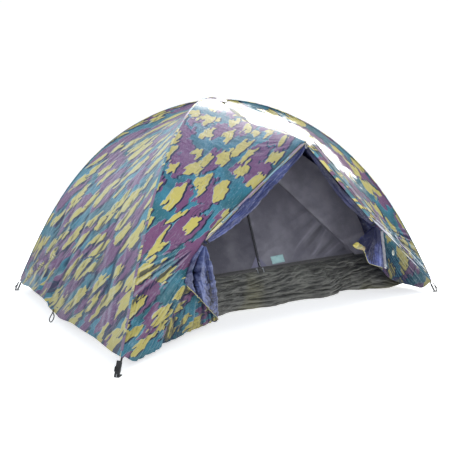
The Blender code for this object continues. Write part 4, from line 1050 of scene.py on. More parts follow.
def rounded_slab(centre, size, axes, r=None, n=3):
    """A slab with rounded corners in its own plane and soft edges, as verts and faces."""
    c = np.array(centre, float)
    ax = [np.array(a, float) / np.linalg.norm(a) for a in axes]
    hx, hy, hz = (s / 2 for s in size)
    r = min(hx, hz) * 0.45 if r is None else r
    outline = []
    for sx, sz, a0 in ((1, 1, 0), (-1, 1, 1), (-1, -1, 2), (1, -1, 3)):
        for k in range(n + 1):
            w = (a0 + k / n) * math.pi / 2
            outline.append((sx * (hx - r) + r * math.cos(w), sz * (hz - r) + r * math.sin(w)))
    e = min(hy * 0.5, r * 0.5)
    layers = [(-hy, 1 - e / max(hx, hz)), (-hy + e, 1.0), (hy - e, 1.0), (hy, 1 - e / max(hx, hz))]
    verts, faces = [], []
    for y, s in layers:
        for x, z in outline:
            verts.append(c + ax[0] * x * s + ax[1] * y + ax[2] * z * s)
    m = len(outline)
    hand = np.dot(np.cross(ax[0], ax[1]), ax[2]) > 0
    for i in range(3):
        for k in range(m):
            q = (k + 1) % m
            f = (i * m + k, (i + 1) * m + k, (i + 1) * m + q, i * m + q)
            faces.append(f if not hand else f[::-1])
    cap0, cap1 = tuple(range(m)), tuple(3 * m + k for k in range(m - 1, -1, -1))
    faces += [cap0 if not hand else cap0[::-1], cap1 if not hand else cap1[::-1]]
    return verts, faces


def torus(centre, axis, R, r, n=28, m=8, sx=1.0):
    ax = np.array(axis, float) / np.linalg.norm(axis)
    a = np.cross(ax, [0, 0, 1.0]) if abs(ax[2]) < 0.9 else np.cross(ax, [1.0, 0, 0])
    a /= np.linalg.norm(a)
    b = np.cross(ax, a)
    verts, faces = [], []
    for i in range(n):
        w = 2 * math.pi * i / n
        d = math.cos(w) * a * sx + math.sin(w) * b
        dn = d / np.linalg.norm(d)
        for k in range(m):
            q = 2 * math.pi * k / m
            verts.append(np.array(centre) + d * R + (dn * math.cos(q) + ax * math.sin(q)) * r)
    for i in range(n):
        for k in range(m):
            j, q = (i + 1) % n, (k + 1) % m
            faces.append((i * m + k, j * m + k, j * m + q, i * m + q))
    return verts, faces


# ------------------------------------------------------------------ strips over the poles and along the hems
def ridge_strip(name, corner):
    """The sewn seam over a pole: a narrow strip that rounds over it."""
    us = np.linspace(0.972, 0.047, 220)
    sx, sy, which = FOOT[corner]
    c = np.array([seam(u, corner, 0.0012) for u in us])
    t = np.gradient(c, axis=0)
    t /= np.linalg.norm(t, axis=1)[:, None]
    out = np.array([pole_point(u, sx, sy, RISE[which], 0.03) - pole_point(u, sx, sy, RISE[which]) for u in us])
    out -= t * np.sum(out * t, 1)[:, None]
    out /= np.linalg.norm(out, axis=1)[:, None]
    lat = np.cross(t, out)
    w = np.linspace(-1, 1, 9)
    d = np.concatenate(([0.0], np.cumsum(np.linalg.norm(np.diff(c, axis=0), axis=1))))
    wob = 0.0008 * perlin(d * 16.0, 3.0, 91)
    g = (c[:, None] + lat[:, None] * (0.0062 * w)[None, :, None] + out[:, None] * ((0.0018 - 0.0042 * w ** 2)[None, :, None]
         + (wob[:, None] * (1 - w ** 2)[None])[..., None]))
    uv = np.stack([np.broadcast_to(d[:, None], g.shape[:2]) * 1.0, np.broadcast_to(0.010 * w[None], g.shape[:2]) + 0.3 * sx], -1)
    ob = shell(name, g, (M_SEAM, M_COAT_DARK), uv, 0.0009, float(np.sum(normals(g) * out[:, None])) < 0)
    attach(ob, "tent")
    declare(g)


for label in FOOT:
    ridge_strip("ridge_strip_" + label, label)


def hem_strip(name, data, mat):
    """The turned-up hem of a panel: a second layer over its last centimetre and a half."""
    g, uv = data
    n = g.shape[0]
    rows = max(3, int(round(0.016 / max(np.linalg.norm(g[-1, g.shape[1] // 2] - g[-2, g.shape[1] // 2]), 1e-4))) + 1)
    h = g[-rows:] + out_normals(g)[-rows:] * 0.0011
    h[-1] += (h[-1] - h[-2]) * 0.15
    hu = uv[-rows:]
    flip = float(np.sum(normals(h) * out_normals(g)[-rows:])) < 0
    ob = shell(name, h, (mat, M_COAT_DARK), hu, 0.0009, flip)
    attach(ob, "tent")
    declare(h)


hem_strip("hem_side_left", SIDE_L, M_SIDE)
hem_strip("hem_side_right", SIDE_R, M_SIDE)
hem_strip("hem_rear", REAR, M_REAR)


def crown():
    """The patch over the crossing: round and domed, dipping on one side, with a slight ripple near its edge."""
    rings, sides = 18, 72
    r = np.linspace(0.0006, 0.066, rings)[:, None]
    w = np.linspace(0, 2 * math.pi, sides)[None, :]
    dip = np.maximum(0.0, -np.sin(w)) ** 3
    z = 1.2692 - 3.3 * r * r - dip * 3.8 * r * r + 0.0008 * np.sin(w * 14) * smooth(0.02, 0.06, r)
    g = np.stack([r * np.cos(w), r * np.sin(w), z + 0 * w], -1)
    uv = np.stack([g[..., 0] + 4.2, g[..., 1] + 1.3], -1)
    ob = shell("crown_patch", g, (M_FRONT, M_FRONT), uv, 0.0010, float(normals(g)[..., 2].mean()) < 0)
    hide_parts("fly_crown_patch")
    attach(ob, "tent")
    declare(g)


crown()


# ------------------------------------------------------------------ lower door flaps
def fan_normals(g):
    return normals(g)


def pleats(g, s, lo, hi, seed, waves, amp):
    """Displacement for folds that run down a gathered piece, between two control columns."""
    nr, nc = g.shape[:2]
    v = np.linspace(0, 1, nr)[:, None]
    x = np.broadcast_to(s[None, :], (nr, nc))
    inside = smooth(lo, lo + 0.25, x) * (1 - smooth(hi - 0.25, hi, x))
    k = perlin(x * waves + 0.35 * perlin(v * 2.2, x * 0.9, seed + 5), v * 0.9, seed)
    k2 = perlin(x * waves * 2.3 + 4.0, v * 1.7, seed + 1)
    ridge = 1 - np.abs(k) * 2.4
    return inside * amp * (0.75 * ridge + 0.45 * k2) * np.sin(np.pi * np.clip(v * 0.62, 0, 0.5)) ** 1.0


def flap(name, node, columns, nc, mats, origin_panel, sx, folds, crumple, shade, worked=1.0):
    """A gathered lower door. Its first column is tucked behind the panel's edge, and it bends there."""
    tie_p, low_p = mirror(TIE, sx), mirror(CORNER, sx)
    pg = origin_panel[0]
    rows = slice(int(0.62 * len(pg)), int(0.95 * len(pg)))
    inward = (pg[rows, -6] - pg[rows, -1]).mean(0)
    axis = (low_p - tie_p) / np.linalg.norm(low_p - tie_p)
    inward -= axis * np.dot(inward, axis)
    inward /= np.linalg.norm(inward)
    face = out_normals(pg)[rows, -4].mean(0)
    first_col = [tie_p + (low_p - tie_p) * q + inward * 0.010 - face * 0.0026 for q in np.linspace(0.02, 0.985, len(columns[0]))]
    second = [tie_p + (low_p - tie_p) * q - inward * 0.004 - face * 0.0010 for q in np.linspace(0.03, 0.985, len(columns[0]))]
    columns = [first_col, second] + list(columns[1:])
    folds = [(lo + 1 if lo else lo, hi + 1, a, b, c) for lo, hi, a, b, c in folds]
    nr = 90
    nc = int(nc * (1.0))
    g, s = loft(columns, nr, nc)
    tie = mirror(TIE, sx)
    o = panel_point(origin_panel, tie)
    low = panel_point(origin_panel, mirror(CORNER, sx))
    start = math.atan2(low[1] - o[1], low[0] - o[0])
    uv = cone_uv(g, o, start, 1.0 if sx < 0 else -1.0)
    n = normals(g)
    first = n[nr // 2:, :nc // 6].reshape(-1, 3).mean(0)
    flip = first[1] > 0
    if flip:
        n = -n
    h = np.zeros(g.shape[:2])
    v = np.linspace(0, 1, nr)[:, None]
    for lo, hi, seed, waves, amp in folds:
        h += pleats(g, s, lo, hi, seed, waves, amp) * (1 - 0.55 * smooth(0.80, 1.0, v))
    h += crumple * smooth(0.1, 0.6, v) * smooth(0.0, 0.4, s)[None] * fbm(uv[..., 0] * 22, uv[..., 1] * 22, 131, 3)
    turned = smooth(len(columns) - 9.5, len(columns) - 8.0, s)[None] * smooth(0.06, 0.30, v)
    h += worked * turned * 0.0052 * (0.6 - 2.0 * np.abs(perlin(uv[..., 0] * 17.0 + 3.0, uv[..., 1] * 11.0, 133)))
    h += worked * turned * 0.0026 * (0.6 - 2.0 * np.abs(perlin(uv[..., 0] * 38.0, uv[..., 1] * 27.0 + 5.0, 134)))
    lie = relief(h, 6, 0.0035)
    # the lie of the big folds themselves: how far a point is behind its neighbours across the piece; with shade() it is
    # painted as shade and highlight
    deep = g[..., 1].copy()
    for _ in range(50):
        deep[:, 1:-1] = (deep[:, :-2] + 2 * deep[:, 1:-1] + deep[:, 2:]) / 4
    facing = np.where(n[..., 1] < 0.1, 1.0, -1.0)
    lie = np.clip(lie - facing * (np.clip((g[..., 1] - deep) / 0.011, -0.4, 1.0) + shade(s[None, :], v)), -1, 1)
    g = g + n * h[..., None]
    g[..., 2] = np.maximum(g[..., 2], 0.006)
    ob = shell(name, g, mats, uv, 0.0009, flip, lie)
    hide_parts(node)
    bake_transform(ob)
    declare(g)
    return g, n, s, uv


def panel_point(data, p):
    """The print coordinates of a point on a panel's edge."""
    g, uv = data
    d = np.linalg.norm(g - p, axis=2)
    i = np.unravel_index(np.argmin(d), d.shape)
    return uv[i]


def straight(a, b, belly=(0, 0, 0), n=6, power=1.0):
    a, b, belly = (np.array(q, float) for q in (a, b, belly))
    return [a + (b - a) * (k / (n - 1)) ** power + belly * math.sin(math.pi * (k / (n - 1)) ** power) for k in range(n)]


def bump_at(x, c, w):
    return np.exp(-((x - c) / w) ** 2)


def left_shade(s, v):
    """Painted shade for how deep in its folds each part of the left lower door lies; its negative terms are painted
    highlight.
    """
    patchy = 0.42 + 0.9 * perlin(s * 0.55 + v, v * 1.9 - s * 0.3, 141)
    under = smooth(5.0, 5.8, s) * (1 - smooth(9.2, 9.9, s)) * smooth(0.30, 0.50, v) * patchy
    return (0.95 * bump_at(s, 14.0, 0.42) * smooth(0.05, 0.18, v) * (1 - smooth(0.62, 0.85, v)) + 0.5 * bump_at(s, 12.0, 0.30) * smooth(0.3, 0.6, v)
            - 0.22 * bump_at(s, 13.0, 0.45) - 0.15 * bump_at(s, 15.3, 0.5) + 0.9 * bump_at(s, 5.0, 0.45) * smooth(0.35, 0.5, v) + 0.9 * under)


def right_shade(s, v):
    # painted shade for each part of the right lower door; the patch term is a painted highlight
    inner = smooth(8.8, 9.4, s) * (1 - smooth(11.3, 12.2, s)) * (1 - 0.7 * smooth(0.86, 0.97, v))
    patch = smooth(11.9, 12.5, s) * (1 - smooth(13.7, 14.0, s)) * smooth(0.38, 0.55, v)
    between = smooth(11.3, 12.0, s) * (1 - smooth(0.30, 0.50, v))
    outer = smooth(1.5, 3.5, s) * (1 - smooth(8.0, 8.8, s)) * (0.5 + 0.6 * perlin(s * 1.2, v * 2.5, 143))
    return 0.95 * inner - 0.55 * patch + 0.75 * between + 0.9 * outer


TL = mirror(TIE, -1)
LEFT_COLS = [
    straight(TL + (-0.004, 0.0005, -0.014), (-1.070, -0.8715, 0.055)),
    straight(TL + (-0.003, 0.000, -0.014), (-1.010, -0.838, 0.024), (0, -0.004, 0)),
    straight(TL + (-0.002, -0.002, -0.014), (-0.930, -0.794, 0.022), (0.010, -0.010, 0)),
    # front lip of the deep pleat
    [TL + (-0.002, -0.004, -0.014), (-0.690, -0.778, 0.405), (-0.742, -0.782, 0.340), (-0.790, -0.785, 0.262), (-0.822, -0.778, 0.150), (-0.850, -0.757, 0.022)],
    # behind the lip
    [TL + (0.000, 0.002, -0.016), (-0.688, -0.755, 0.402), (-0.738, -0.752, 0.335), (-0.782, -0.750, 0.258), (-0.808, -0.745, 0.148), (-0.832, -0.728, 0.024)],
    straight(TL + (0.002, 0.006, -0.018), (-0.742, -0.694, 0.022), (-0.012, 0.006, 0)),
    straight(TL + (0.004, 0.008, -0.020), (-0.648, -0.655, 0.024), (0.0, 0.010, 0)),
    straight(TL + (0.006, 0.008, -0.020), (-0.560, -0.622, 0.022), (0.0, 0.012, 0)),
    straight(TL + (0.010, 0.006, -0.022), (-0.474, -0.592, 0.022), (0.006, 0.010, 0)),
    # the fold at the free corner, then the turned-back inner side with one deep fold in it
    [TL + (0.012, 0.000, -0.024), (-0.590, -0.752, 0.395), (-0.560, -0.735, 0.325), (-0.522, -0.700, 0.235), (-0.482, -0.655, 0.130), (-0.447, -0.604, 0.024)],
    [TL + (0.010, -0.010, -0.024), (-0.602, -0.780, 0.395), (-0.580, -0.774, 0.325), (-0.550, -0.752, 0.240), (-0.514, -0.710, 0.150), (-0.466, -0.636, 0.052)],
    [TL + (0.006, -0.006, -0.024), (-0.616, -0.764, 0.392), (-0.602, -0.756, 0.330), (-0.582, -0.744, 0.262), (-0.560, -0.724, 0.190), (-0.528, -0.690, 0.105)],
    [TL + (0.001, -0.014, -0.022), (-0.648, -0.800, 0.390), (-0.662, -0.806, 0.336), (-0.652, -0.798, 0.284), (-0.632, -0.780, 0.232), (-0.598, -0.748, 0.158)],
    [TL + (-0.003, 0.000, -0.022), (-0.676, -0.750, 0.388), (-0.692, -0.736, 0.338), (-0.688, -0.740, 0.294), (-0.668, -0.750, 0.252), (-0.638, -0.756, 0.200)],
    [TL + (-0.007, -0.016, -0.020), (-0.690, -0.800, 0.394), (-0.710, -0.808, 0.352), (-0.712, -0.808, 0.312), (-0.702, -0.802, 0.272), (-0.680, -0.790, 0.234)],
    # left edge of the lapel
    [TL + (-0.010, -0.014, -0.018), (-0.700, -0.800, 0.404), (-0.722, -0.806, 0.372), (-0.733, -0.806, 0.342), (-0.740, -0.804, 0.314), (-0.738, -0.800, 0.290)],
    # it curls back behind itself
    [TL + (-0.011, -0.010, -0.016), (-0.698, -0.788, 0.408), (-0.721, -0.790, 0.376), (-0.732, -0.788, 0.350), (-0.738, -0.786, 0.326), (-0.740, -0.784, 0.306)],
    [TL + (-0.010, -0.004, -0.016), (-0.688, -0.776, 0.408), (-0.706, -0.776, 0.372), (-0.714, -0.776, 0.342), (-0.716, -0.776, 0.318), (-0.718, -0.776, 0.300)],
]
G_FL = flap("flap_left", "front_flap_left", LEFT_COLS, 330, (M_FRONT, M_COAT), FRONT_L, -1,
            [(0.4, 3.0, 140, 2.4, 0.0110), (4.2, 8.8, 150, 1.7, 0.0150), (9.4, 12.6, 160, 1.9, 0.0054)], 0.0034, left_shade)

TR = mirror(TIE, 1)
RIGHT_COLS = [
    straight(TR + (0.004, 0.0005, -0.014), (1.070, -0.8715, 0.055)),
    straight(TR + (0.006, 0.000, -0.014), (1.020, -0.840, 0.030), (0, 0.002, -0.004)),
    straight(TR + (0.006, 0.002, -0.016), (0.935, -0.806, 0.052), (0, 0.006, -0.008)),
    straight(TR + (0.006, 0.004, -0.018), (0.850, -0.786, 0.078), (0, 0.008, -0.010)),
    straight(TR + (0.004, 0.006, -0.020), (0.765, -0.768, 0.118), (0, 0.010, -0.012)),
    straight(TR + (0.000, 0.010, -0.022), (0.690, -0.752, 0.185), (0, 0.014, -0.014)),
    straight(TR + (-0.004, 0.012, -0.022), (0.600, -0.742, 0.262), (0, 0.012, -0.014)),
    straight(TR + (-0.006, 0.012, -0.022), (0.520, -0.742, 0.318), (0, 0.008, -0.014)),
    # yellow corner at the far left, then the fold back to the front
    [TR + (-0.008, 0.010, -0.020), (0.575, -0.750, 0.432), (0.535, -0.752, 0.412), (0.500, -0.755, 0.395), (0.470, -0.758, 0.380), (0.446, -0.760, 0.368)],
    [TR + (-0.008, 0.002, -0.020), (0.584, -0.768, 0.424), (0.560, -0.772, 0.396), (0.536, -0.774, 0.368), (0.516, -0.776, 0.342), (0.500, -0.776, 0.318)],
    [TR + (-0.006, -0.006, -0.020), (0.598, -0.782, 0.414), (0.582, -0.786, 0.372), (0.564, -0.788, 0.328), (0.546, -0.788, 0.286), (0.534, -0.786, 0.246)],
    [TR + (-0.002, -0.010, -0.022), (0.616, -0.778, 0.404), (0.610, -0.780, 0.356), (0.602, -0.784, 0.308), (0.594, -0.788, 0.262), (0.586, -0.790, 0.222)],
    [TR + (0.004, -0.016, -0.024), (0.636, -0.796, 0.396), (0.640, -0.800, 0.346), (0.642, -0.802, 0.298), (0.644, -0.804, 0.248), (0.646, -0.804, 0.203)],
    [TR + (0.010, -0.018, -0.026), (0.648, -0.796, 0.392), (0.660, -0.802, 0.342), (0.668, -0.806, 0.292), (0.674, -0.806, 0.242), (0.680, -0.806, 0.194)],
]
# a darker copy of the coated inside, with a deeper fold colour: painted shade
M_COAT_R = coated_material("coated_inside_right", rgb("5a64a4"), rgb("1f2248"), 0.34, deep=(0.0055, 0.0065, 0.032))
G_FR = flap("flap_right", "front_flap_right", RIGHT_COLS, 260, (M_FLAP_R, M_COAT_R), FRONT_R, 1,
            [(0.4, 4.8, 170, 2.2, 0.0100), (5.2, 7.6, 180, 2.0, 0.0080), (9.2, 11.9, 190, 2.0, 0.0070)], 0.0022, right_shade, 0.35)


def flap_piping(name, body, data, lo, hi):
    """The turned-over edge of a lower door: a thin pale rim along its lower edge."""
    g, n, s, uv = data
    row = g[-1][(s > lo) & (s < hi)]
    path = resample(row, 90)
    ob = tube_mesh(name, path, [0.0013 * (1 + 0.35 * math.sin(i * 1.7) * math.sin(i * 0.31)) for i in range(90)], (M_RIM,), 8)
    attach(ob, body)


M_RIM = camo_material("pale_rim", 20.0, (3.1, 6.0), rgb("cfc98a"), 0.80, streak=0.3)
M_CORNER = camo_material("camouflage_corner", 30.0, (3.4, 1.1), rgb("b5a53c"), 0.62)


def turned_corner():
    """The lower left corner of the right door, turned over so that its printed side shows."""
    n, m = 14, 26
    top = spline([(0.408, -0.7700, 0.3610), (0.424, -0.7740, 0.3700), (0.440, -0.7770, 0.3740), (0.465, -0.7800, 0.3610), (0.492, -0.7800, 0.3460), (0.512, -0.7770, 0.3370)], m)
    low = spline([(0.408, -0.7700, 0.3590), (0.420, -0.7740, 0.3450), (0.444, -0.7770, 0.3330), (0.466, -0.7790, 0.3290), (0.490, -0.7780, 0.3225), (0.506, -0.7760, 0.3150)], m)
    top, low = np.array(top), np.array(low)
    g = np.zeros((n, m, 3))
    for i in range(n):
        w = i / (n - 1)
        g[i] = top + (low - top) * w + np.array([0, -1.0, 0]) * (0.0050 * math.sin(math.pi * w) + 0.0015 * np.sin(np.arange(m) * 0.9 + 3 * w))[:, None]
    uv = np.stack([g[..., 0], g[..., 2]], -1)
    ob = shell("turned_corner", g, (M_CORNER, M_COAT_R), uv, 0.0009, float(normals(g)[..., 1].mean()) > 0)
    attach(ob, "right_flap")
    declare(g)


turned_corner()
flap_piping("flap_rim_left", "left_flap", G_FL, 10.2, 16.0)
flap_piping("flap_rim_right", "right_flap", G_FR, 9.2, 13.0)


ob = tube_mesh("pocket_edge", smooth_path(spline([(-0.776, -0.790, 0.300), (-0.768, -0.794, 0.316), (-0.755, -0.797, 0.3245), (-0.742, -0.800, 0.327)], 40), 40),
               [0.0022 * (1 + 0.25 * math.sin(i * 0.8)) for i in range(40)], (M_RIM,), 8)
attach(ob, "left_flap")


# ------------------------------------------------------------------ rolled upper doors
def cloth_roll(name, node, sx, fat, drop, turns, mat, seed, fold_amp):
    """A door wound into a loose roll along the edge of the opening, as one spiral sheet."""
    p0, p1 = PEAK, mirror(TIE, sx)
    n = 170
    m = 84
    d = (p1 - p0) / np.linalg.norm(p1 - p0)
    down = np.cross(d, [0, 1.0, 0])
    down *= -np.sign(down[2])
    back = np.array([0, 1.0, 0])
    t = np.linspace(0.022, 0.990, n)
    ph = np.linspace(0, turns * 2 * math.pi, m)
    g = np.zeros((n, m, 3))
    L = np.linalg.norm(p1 - p0)
    for i, ti in enumerate(t):
        R = 0.5 * float(np.interp(ti, fat[0], fat[1]))
        wide = 1.0
        c = p0 + (p1 - p0) * ti + down * (R * wide + float(np.interp(ti, drop[0], drop[1]))) + back * 0.007
        twist = 0.8 * (ti - 0.3) * sx
        r = R * (1.0 - 0.22 * ph / ph[-1])
        f1 = perlin(ph * 1.9 + 2.2 * twist, np.full(m, ti * 3.2), seed)
        f2 = perlin(ph * 4.1 - twist, np.full(m, ti * 6.5), seed + 1)
        f3 = perlin(ph * 9.0, np.full(m, ti * 22.0), seed + 2)
        dent = R * fold_amp * (0.30 * (1 - 2.2 * np.abs(f1)) + 0.12 * f2 + 0.035 * f3)
        # the first part of the cloth comes down from the edge before it winds
        a = ph - 1.9
        rr = r + dent
        g[i] = c + down * (-np.cos(a) * rr * wide)[:, None] - back * (np.sin(a) * rr * 0.80)[:, None]
    dl = t * L
    arc = np.concatenate((np.zeros((n, 1)), np.cumsum(np.linalg.norm(np.diff(g, axis=1), axis=2), axis=1)), axis=1)
    uv = np.stack([np.broadcast_to(dl[:, None], (n, m)), arc + 0.7], -1)
    centre = g.mean(1)[:, None]
    flip = float(np.sum(normals(g)[:, :m // 2] * (g - centre)[:, :m // 2])) < 0
    ob = shell(name, g, (mat, mat), uv, 0.0009, flip)
    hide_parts(node)
    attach(ob, "tent")
    declare(g)
    return ob


M_ROLL_L = coated_material("coated_roll_left", rgb("4c5790"), rgb("2c3360"), 0.30, 0.8)
# the same coated cloth as the left roll, made darker: painted shade
M_ROLL_R = coated_material("coated_roll_right", rgb("30335a"), rgb("191b34"), 0.30, 1.0)
M_ROLL_R.node_tree.nodes["Principled BSDF"].inputs["Coat Weight"].default_value = 0.08
M_ROLL_R.node_tree.nodes["Principled BSDF"].inputs["Specular IOR Level"].default_value = 0.25
M_COAT_R.node_tree.nodes["Principled BSDF"].inputs["Coat Weight"].default_value = 0.12
M_COAT_R.node_tree.nodes["Principled BSDF"].inputs["Specular IOR Level"].default_value = 0.25
cloth_roll("roll_left", "door_roll_left", -1,
           ([0, 0.05, 0.1, 0.2, 0.36, 0.5, 0.62, 0.73, 0.84, 0.93, 1.0], [0.018, 0.034, 0.040, 0.044, 0.052, 0.056, 0.058, 0.056, 0.046, 0.032, 0.018]),
           ([0, 1], [0.001, 0.003]), 1.55, M_ROLL_L, 201, 1.25)
cloth_roll("roll_right", "door_roll_right", 1,
           ([0, 0.05, 0.2, 0.35, 0.5, 0.65, 0.8, 0.92, 1.0], [0.011, 0.016, 0.020, 0.030, 0.038, 0.040, 0.036, 0.024, 0.015]),
           ([0, 0.1, 0.25, 0.5, 0.7, 0.9, 1.0], [0.004, 0.010, 0.017, 0.020, 0.014, 0.006, 0.004]), 1.45, M_ROLL_R, 211, 1.0)


def tie(name, node, sx):
    """The webbing tie round the neck of a roll, with a small toggle."""
    t = mirror(TIE, sx)
    d = (t - PEAK) / np.linalg.norm(t - PEAK)
    a = np.cross(d, [0, 1.0, 0])
    a /= np.linalg.norm(a)
    if a[2] > 0:
        a = -a
    b = np.cross(d, a)
    c = t + a * 0.0135 - d * 0.014 + np.array([0, 0.004, 0])
    parts = []
    for off, r, s in ((-0.0028, 0.0122, 0.0022), (0.0026, 0.0118, 0.0022)):
        n, m = 36, 8
        verts, faces = [], []
        for i in range(n):
            w = 2 * math.pi * i / n
            rad = r * (1 + 0.07 * math.sin(3 * w + off * 900))
            e = a * math.cos(w) + b * math.sin(w) * 0.92
            for k in range(m):
                q = 2 * math.pi * k / m
                verts.append(c + e * (rad + 0.0012 * math.cos(q)) + d * (off + s * math.sin(q) + 0.0012 * math.sin(2 * w)))
        for i in range(n):
            for k in range(m):
                j, q = (i + 1) % n, (k + 1) % m
                faces.append((i * m + k, j * m + k, j * m + q, i * m + q))
        parts.append((verts, faces, 0))
    # toggle: a barrel with a waist
    tc = c - b * 0.0132 * np.sign(b[1]) + a * 0.002
    verts, faces = [], []
    prof = [(-0.0095, 0.0016), (-0.0090, 0.0030), (-0.0050, 0.0034), (0.0, 0.0026), (0.0050, 0.0034), (0.0090, 0.0030), (0.0095, 0.0016)]
    e1, e2 = b, d
    for h, r in prof:
        for k in range(12):
            w = 2 * math.pi * k / 12
            verts.append(tc + a * h + (e1 * math.cos(w) + e2 * math.sin(w)) * r)
    for i in range(len(prof) - 1):
        for k in range(12):
            q = (k + 1) % 12
            faces.append((i * 12 + k, i * 12 + q, (i + 1) * 12 + q, (i + 1) * 12 + k))
    faces.append(tuple(range(11, -1, -1)))
    faces.append(tuple((len(prof) - 1) * 12 + k for k in range(12)))
    parts.append((verts, faces, 1))
    ob = joined(name, parts, (M_WEB, M_BLACK))
    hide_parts(node)
    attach(ob, "tent")


tie("tie_left", "door_tie_left", -1)
tie("tie_right", "door_tie_right", 1)


# ------------------------------------------------------------------ strips along the opening's edges
def edge_strip(name, sx, t0, t1, lo, hi, out0, out1, mat, seed, amp=0.0012, n=160, node=None, bend=0.0):
    """A narrow strip beside the opening. lo and hi are distances from the edge, up the panel."""
    p0, p1 = PEAK, mirror(TIE, sx)
    d = (p1 - p0) / np.linalg.norm(p1 - p0)
    up = np.cross([0, 1.0, 0], d)
    up *= np.sign(up[2])
    t = np.linspace(t0, t1, n)
    taper = np.minimum(1, np.minimum((t - t0) / 0.06 + 0.25, (t1 - t) / 0.06 + 0.25))
    w = np.linspace(0, 1, 8)
    L = np.linalg.norm(p1 - p0)
    wave = amp * fbm(t * 9.0, np.full(n, seed * 1.7), seed, 2)
    g = np.zeros((n, 8, 3))
    for j, wj in enumerate(w):
        h = lo + (hi - lo) * wj * taper + bend * np.sin(math.pi * t) + wave * (0.4 + wj)
        o = out0 + (out1 - out0) * wj + 0.0022 * math.sin(math.pi * wj) + 0.8 * wave
        g[:, j] = p0 + (p1 - p0) * t[:, None] + up * h[:, None] + np.array([0, -1.0, 0]) * o[:, None]
    uv = np.stack([np.broadcast_to((t * L)[:, None], (n, 8)), np.broadcast_to((lo + (hi - lo) * w)[None], (n, 8)) + 0.13 * seed], -1)
    flip = float(normals(g)[..., 1].mean()) > 0
    ob = shell(name, g, (mat, mat), uv, 0.0009, flip)
    if node:
        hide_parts(node)
    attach(ob, "tent")
    declare(g)
    return g


def edge_cord(name, sx, t0, t1, h, out, r, mat, seed, sides=8):
    p0, p1 = PEAK, mirror(TIE, sx)
    d = (p1 - p0) / np.linalg.norm(p1 - p0)
    up = np.cross([0, 1.0, 0], d)
    up *= np.sign(up[2])
    t = np.linspace(t0, t1, 150)
    wave = 0.0012 * fbm(t * 8.0, np.full(150, 1.3), seed, 2)
    path = [p0 + (p1 - p0) * q + up * (h + e) + np.array([0, -1.0, 0]) * (out + 0.5 * e) for q, e in zip(t, wave)]
    rr = [r * (1 + 0.12 * math.sin(i * 2.4)) for i in range(150)]
    ob = tube_mesh(name, path, rr, (mat,), sides)
    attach(ob, "tent")


# the pale tint here is a painted highlight
M_STRIP = camo_material("camouflage_strip", 12.0, (6.1, 0.7), rgb("e6ecef"), 0.22, size=0.62)
M_STRIP_B = camo_material("camouflage_strip_lower", 8.0, (8.3, 3.1), size=0.55)
M_PIPING = cloth_material("pale_piping", rgb("cfc78e"), rgb("a39a63"), 0.5, 0.2, 200.0, 60.0, 0.2)
edge_strip("storm_strip_upper", 1, 0.05, 0.985, 0.010, 0.034, 0.010, 0.004, M_STRIP, 5, node="storm_flap", bend=0.006)
edge_strip("storm_strip_middle", 1, 0.04, 0.985, 0.002, 0.012, 0.013, 0.012, M_STRIP_B, 6, bend=0.003)
edge_strip("storm_strip_lower", 1, 0.03, 0.95, -0.013, 0.002, 0.004, 0.011, M_STRIP_B, 7)
edge_cord("door_zip_chain_upper", 1, 0.06, 0.975, 0.0365, 0.0050, 0.0022, M_COIL, 31)
edge_cord("door_zip_chain_middle", 1, 0.06, 0.975, 0.0115, 0.0150, 0.0014, M_COIL, 33)
edge_cord("door_zip_chain_lower", 1, 0.05, 0.96, 0.0025, 0.0125, 0.0013, M_COIL, 37)
edge_strip("facing_left", -1, 0.015, 0.985, -0.004, 0.010, 0.003, 0.006, M_STRIP, 9)
edge_cord("door_zip_chain_left", -1, 0.03, 0.97, 0.0120, 0.0030, 0.0016, M_COIL, 41)
edge_cord("piping_left", -1, 0.02, 0.985, -0.0045, 0.0045, 0.0013, M_PIPING, 43)


def peak_loop():
    """A small loop of white tape that hangs from the peak."""
    c = PEAK + np.array([0.0, -0.006, -0.008])
    pts = []
    for k in range(33):
        w = 2 * math.pi * k / 32
        pts.append(c + np.array([0.0065 * math.sin(w), -0.002 * math.cos(w), -0.014 + 0.014 * math.cos(w)]))
    pts = np.array(pts)
    n = len(pts)
    g = np.zeros((n, 4, 3))
    for j, y in enumerate(np.linspace(-0.0035, 0.0035, 4)):
        g[:, j] = pts + np.array([0, y, 0])
    ob = shell("peak_loop", g, (M_WHITE_WEB, M_WHITE_WEB), np.zeros((n, 4, 2)), 0.0010)
    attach(ob, "tent")


peak_loop()


# ------------------------------------------------------------------ zip tape, slider and ring of the right door
TAPE_TOP = np.array([TIE[0] + 0.016, -0.790, 0.425])
TAPE_END = np.array([0.6580, -0.8090, 0.199])
tdir = (TAPE_END - TAPE_TOP) / np.linalg.norm(TAPE_END - TAPE_TOP)
tside = np.cross(tdir, np.array([0, -1.0, 0]))
tside /= np.linalg.norm(tside)
tn = np.cross(tside, tdir)
if tn[1] > 0:
    tn = -tn
SLIDER = TAPE_END - tdir * 0.020 + tn * 0.0095
PULL_PIVOT = SLIDER + tn * 0.0040


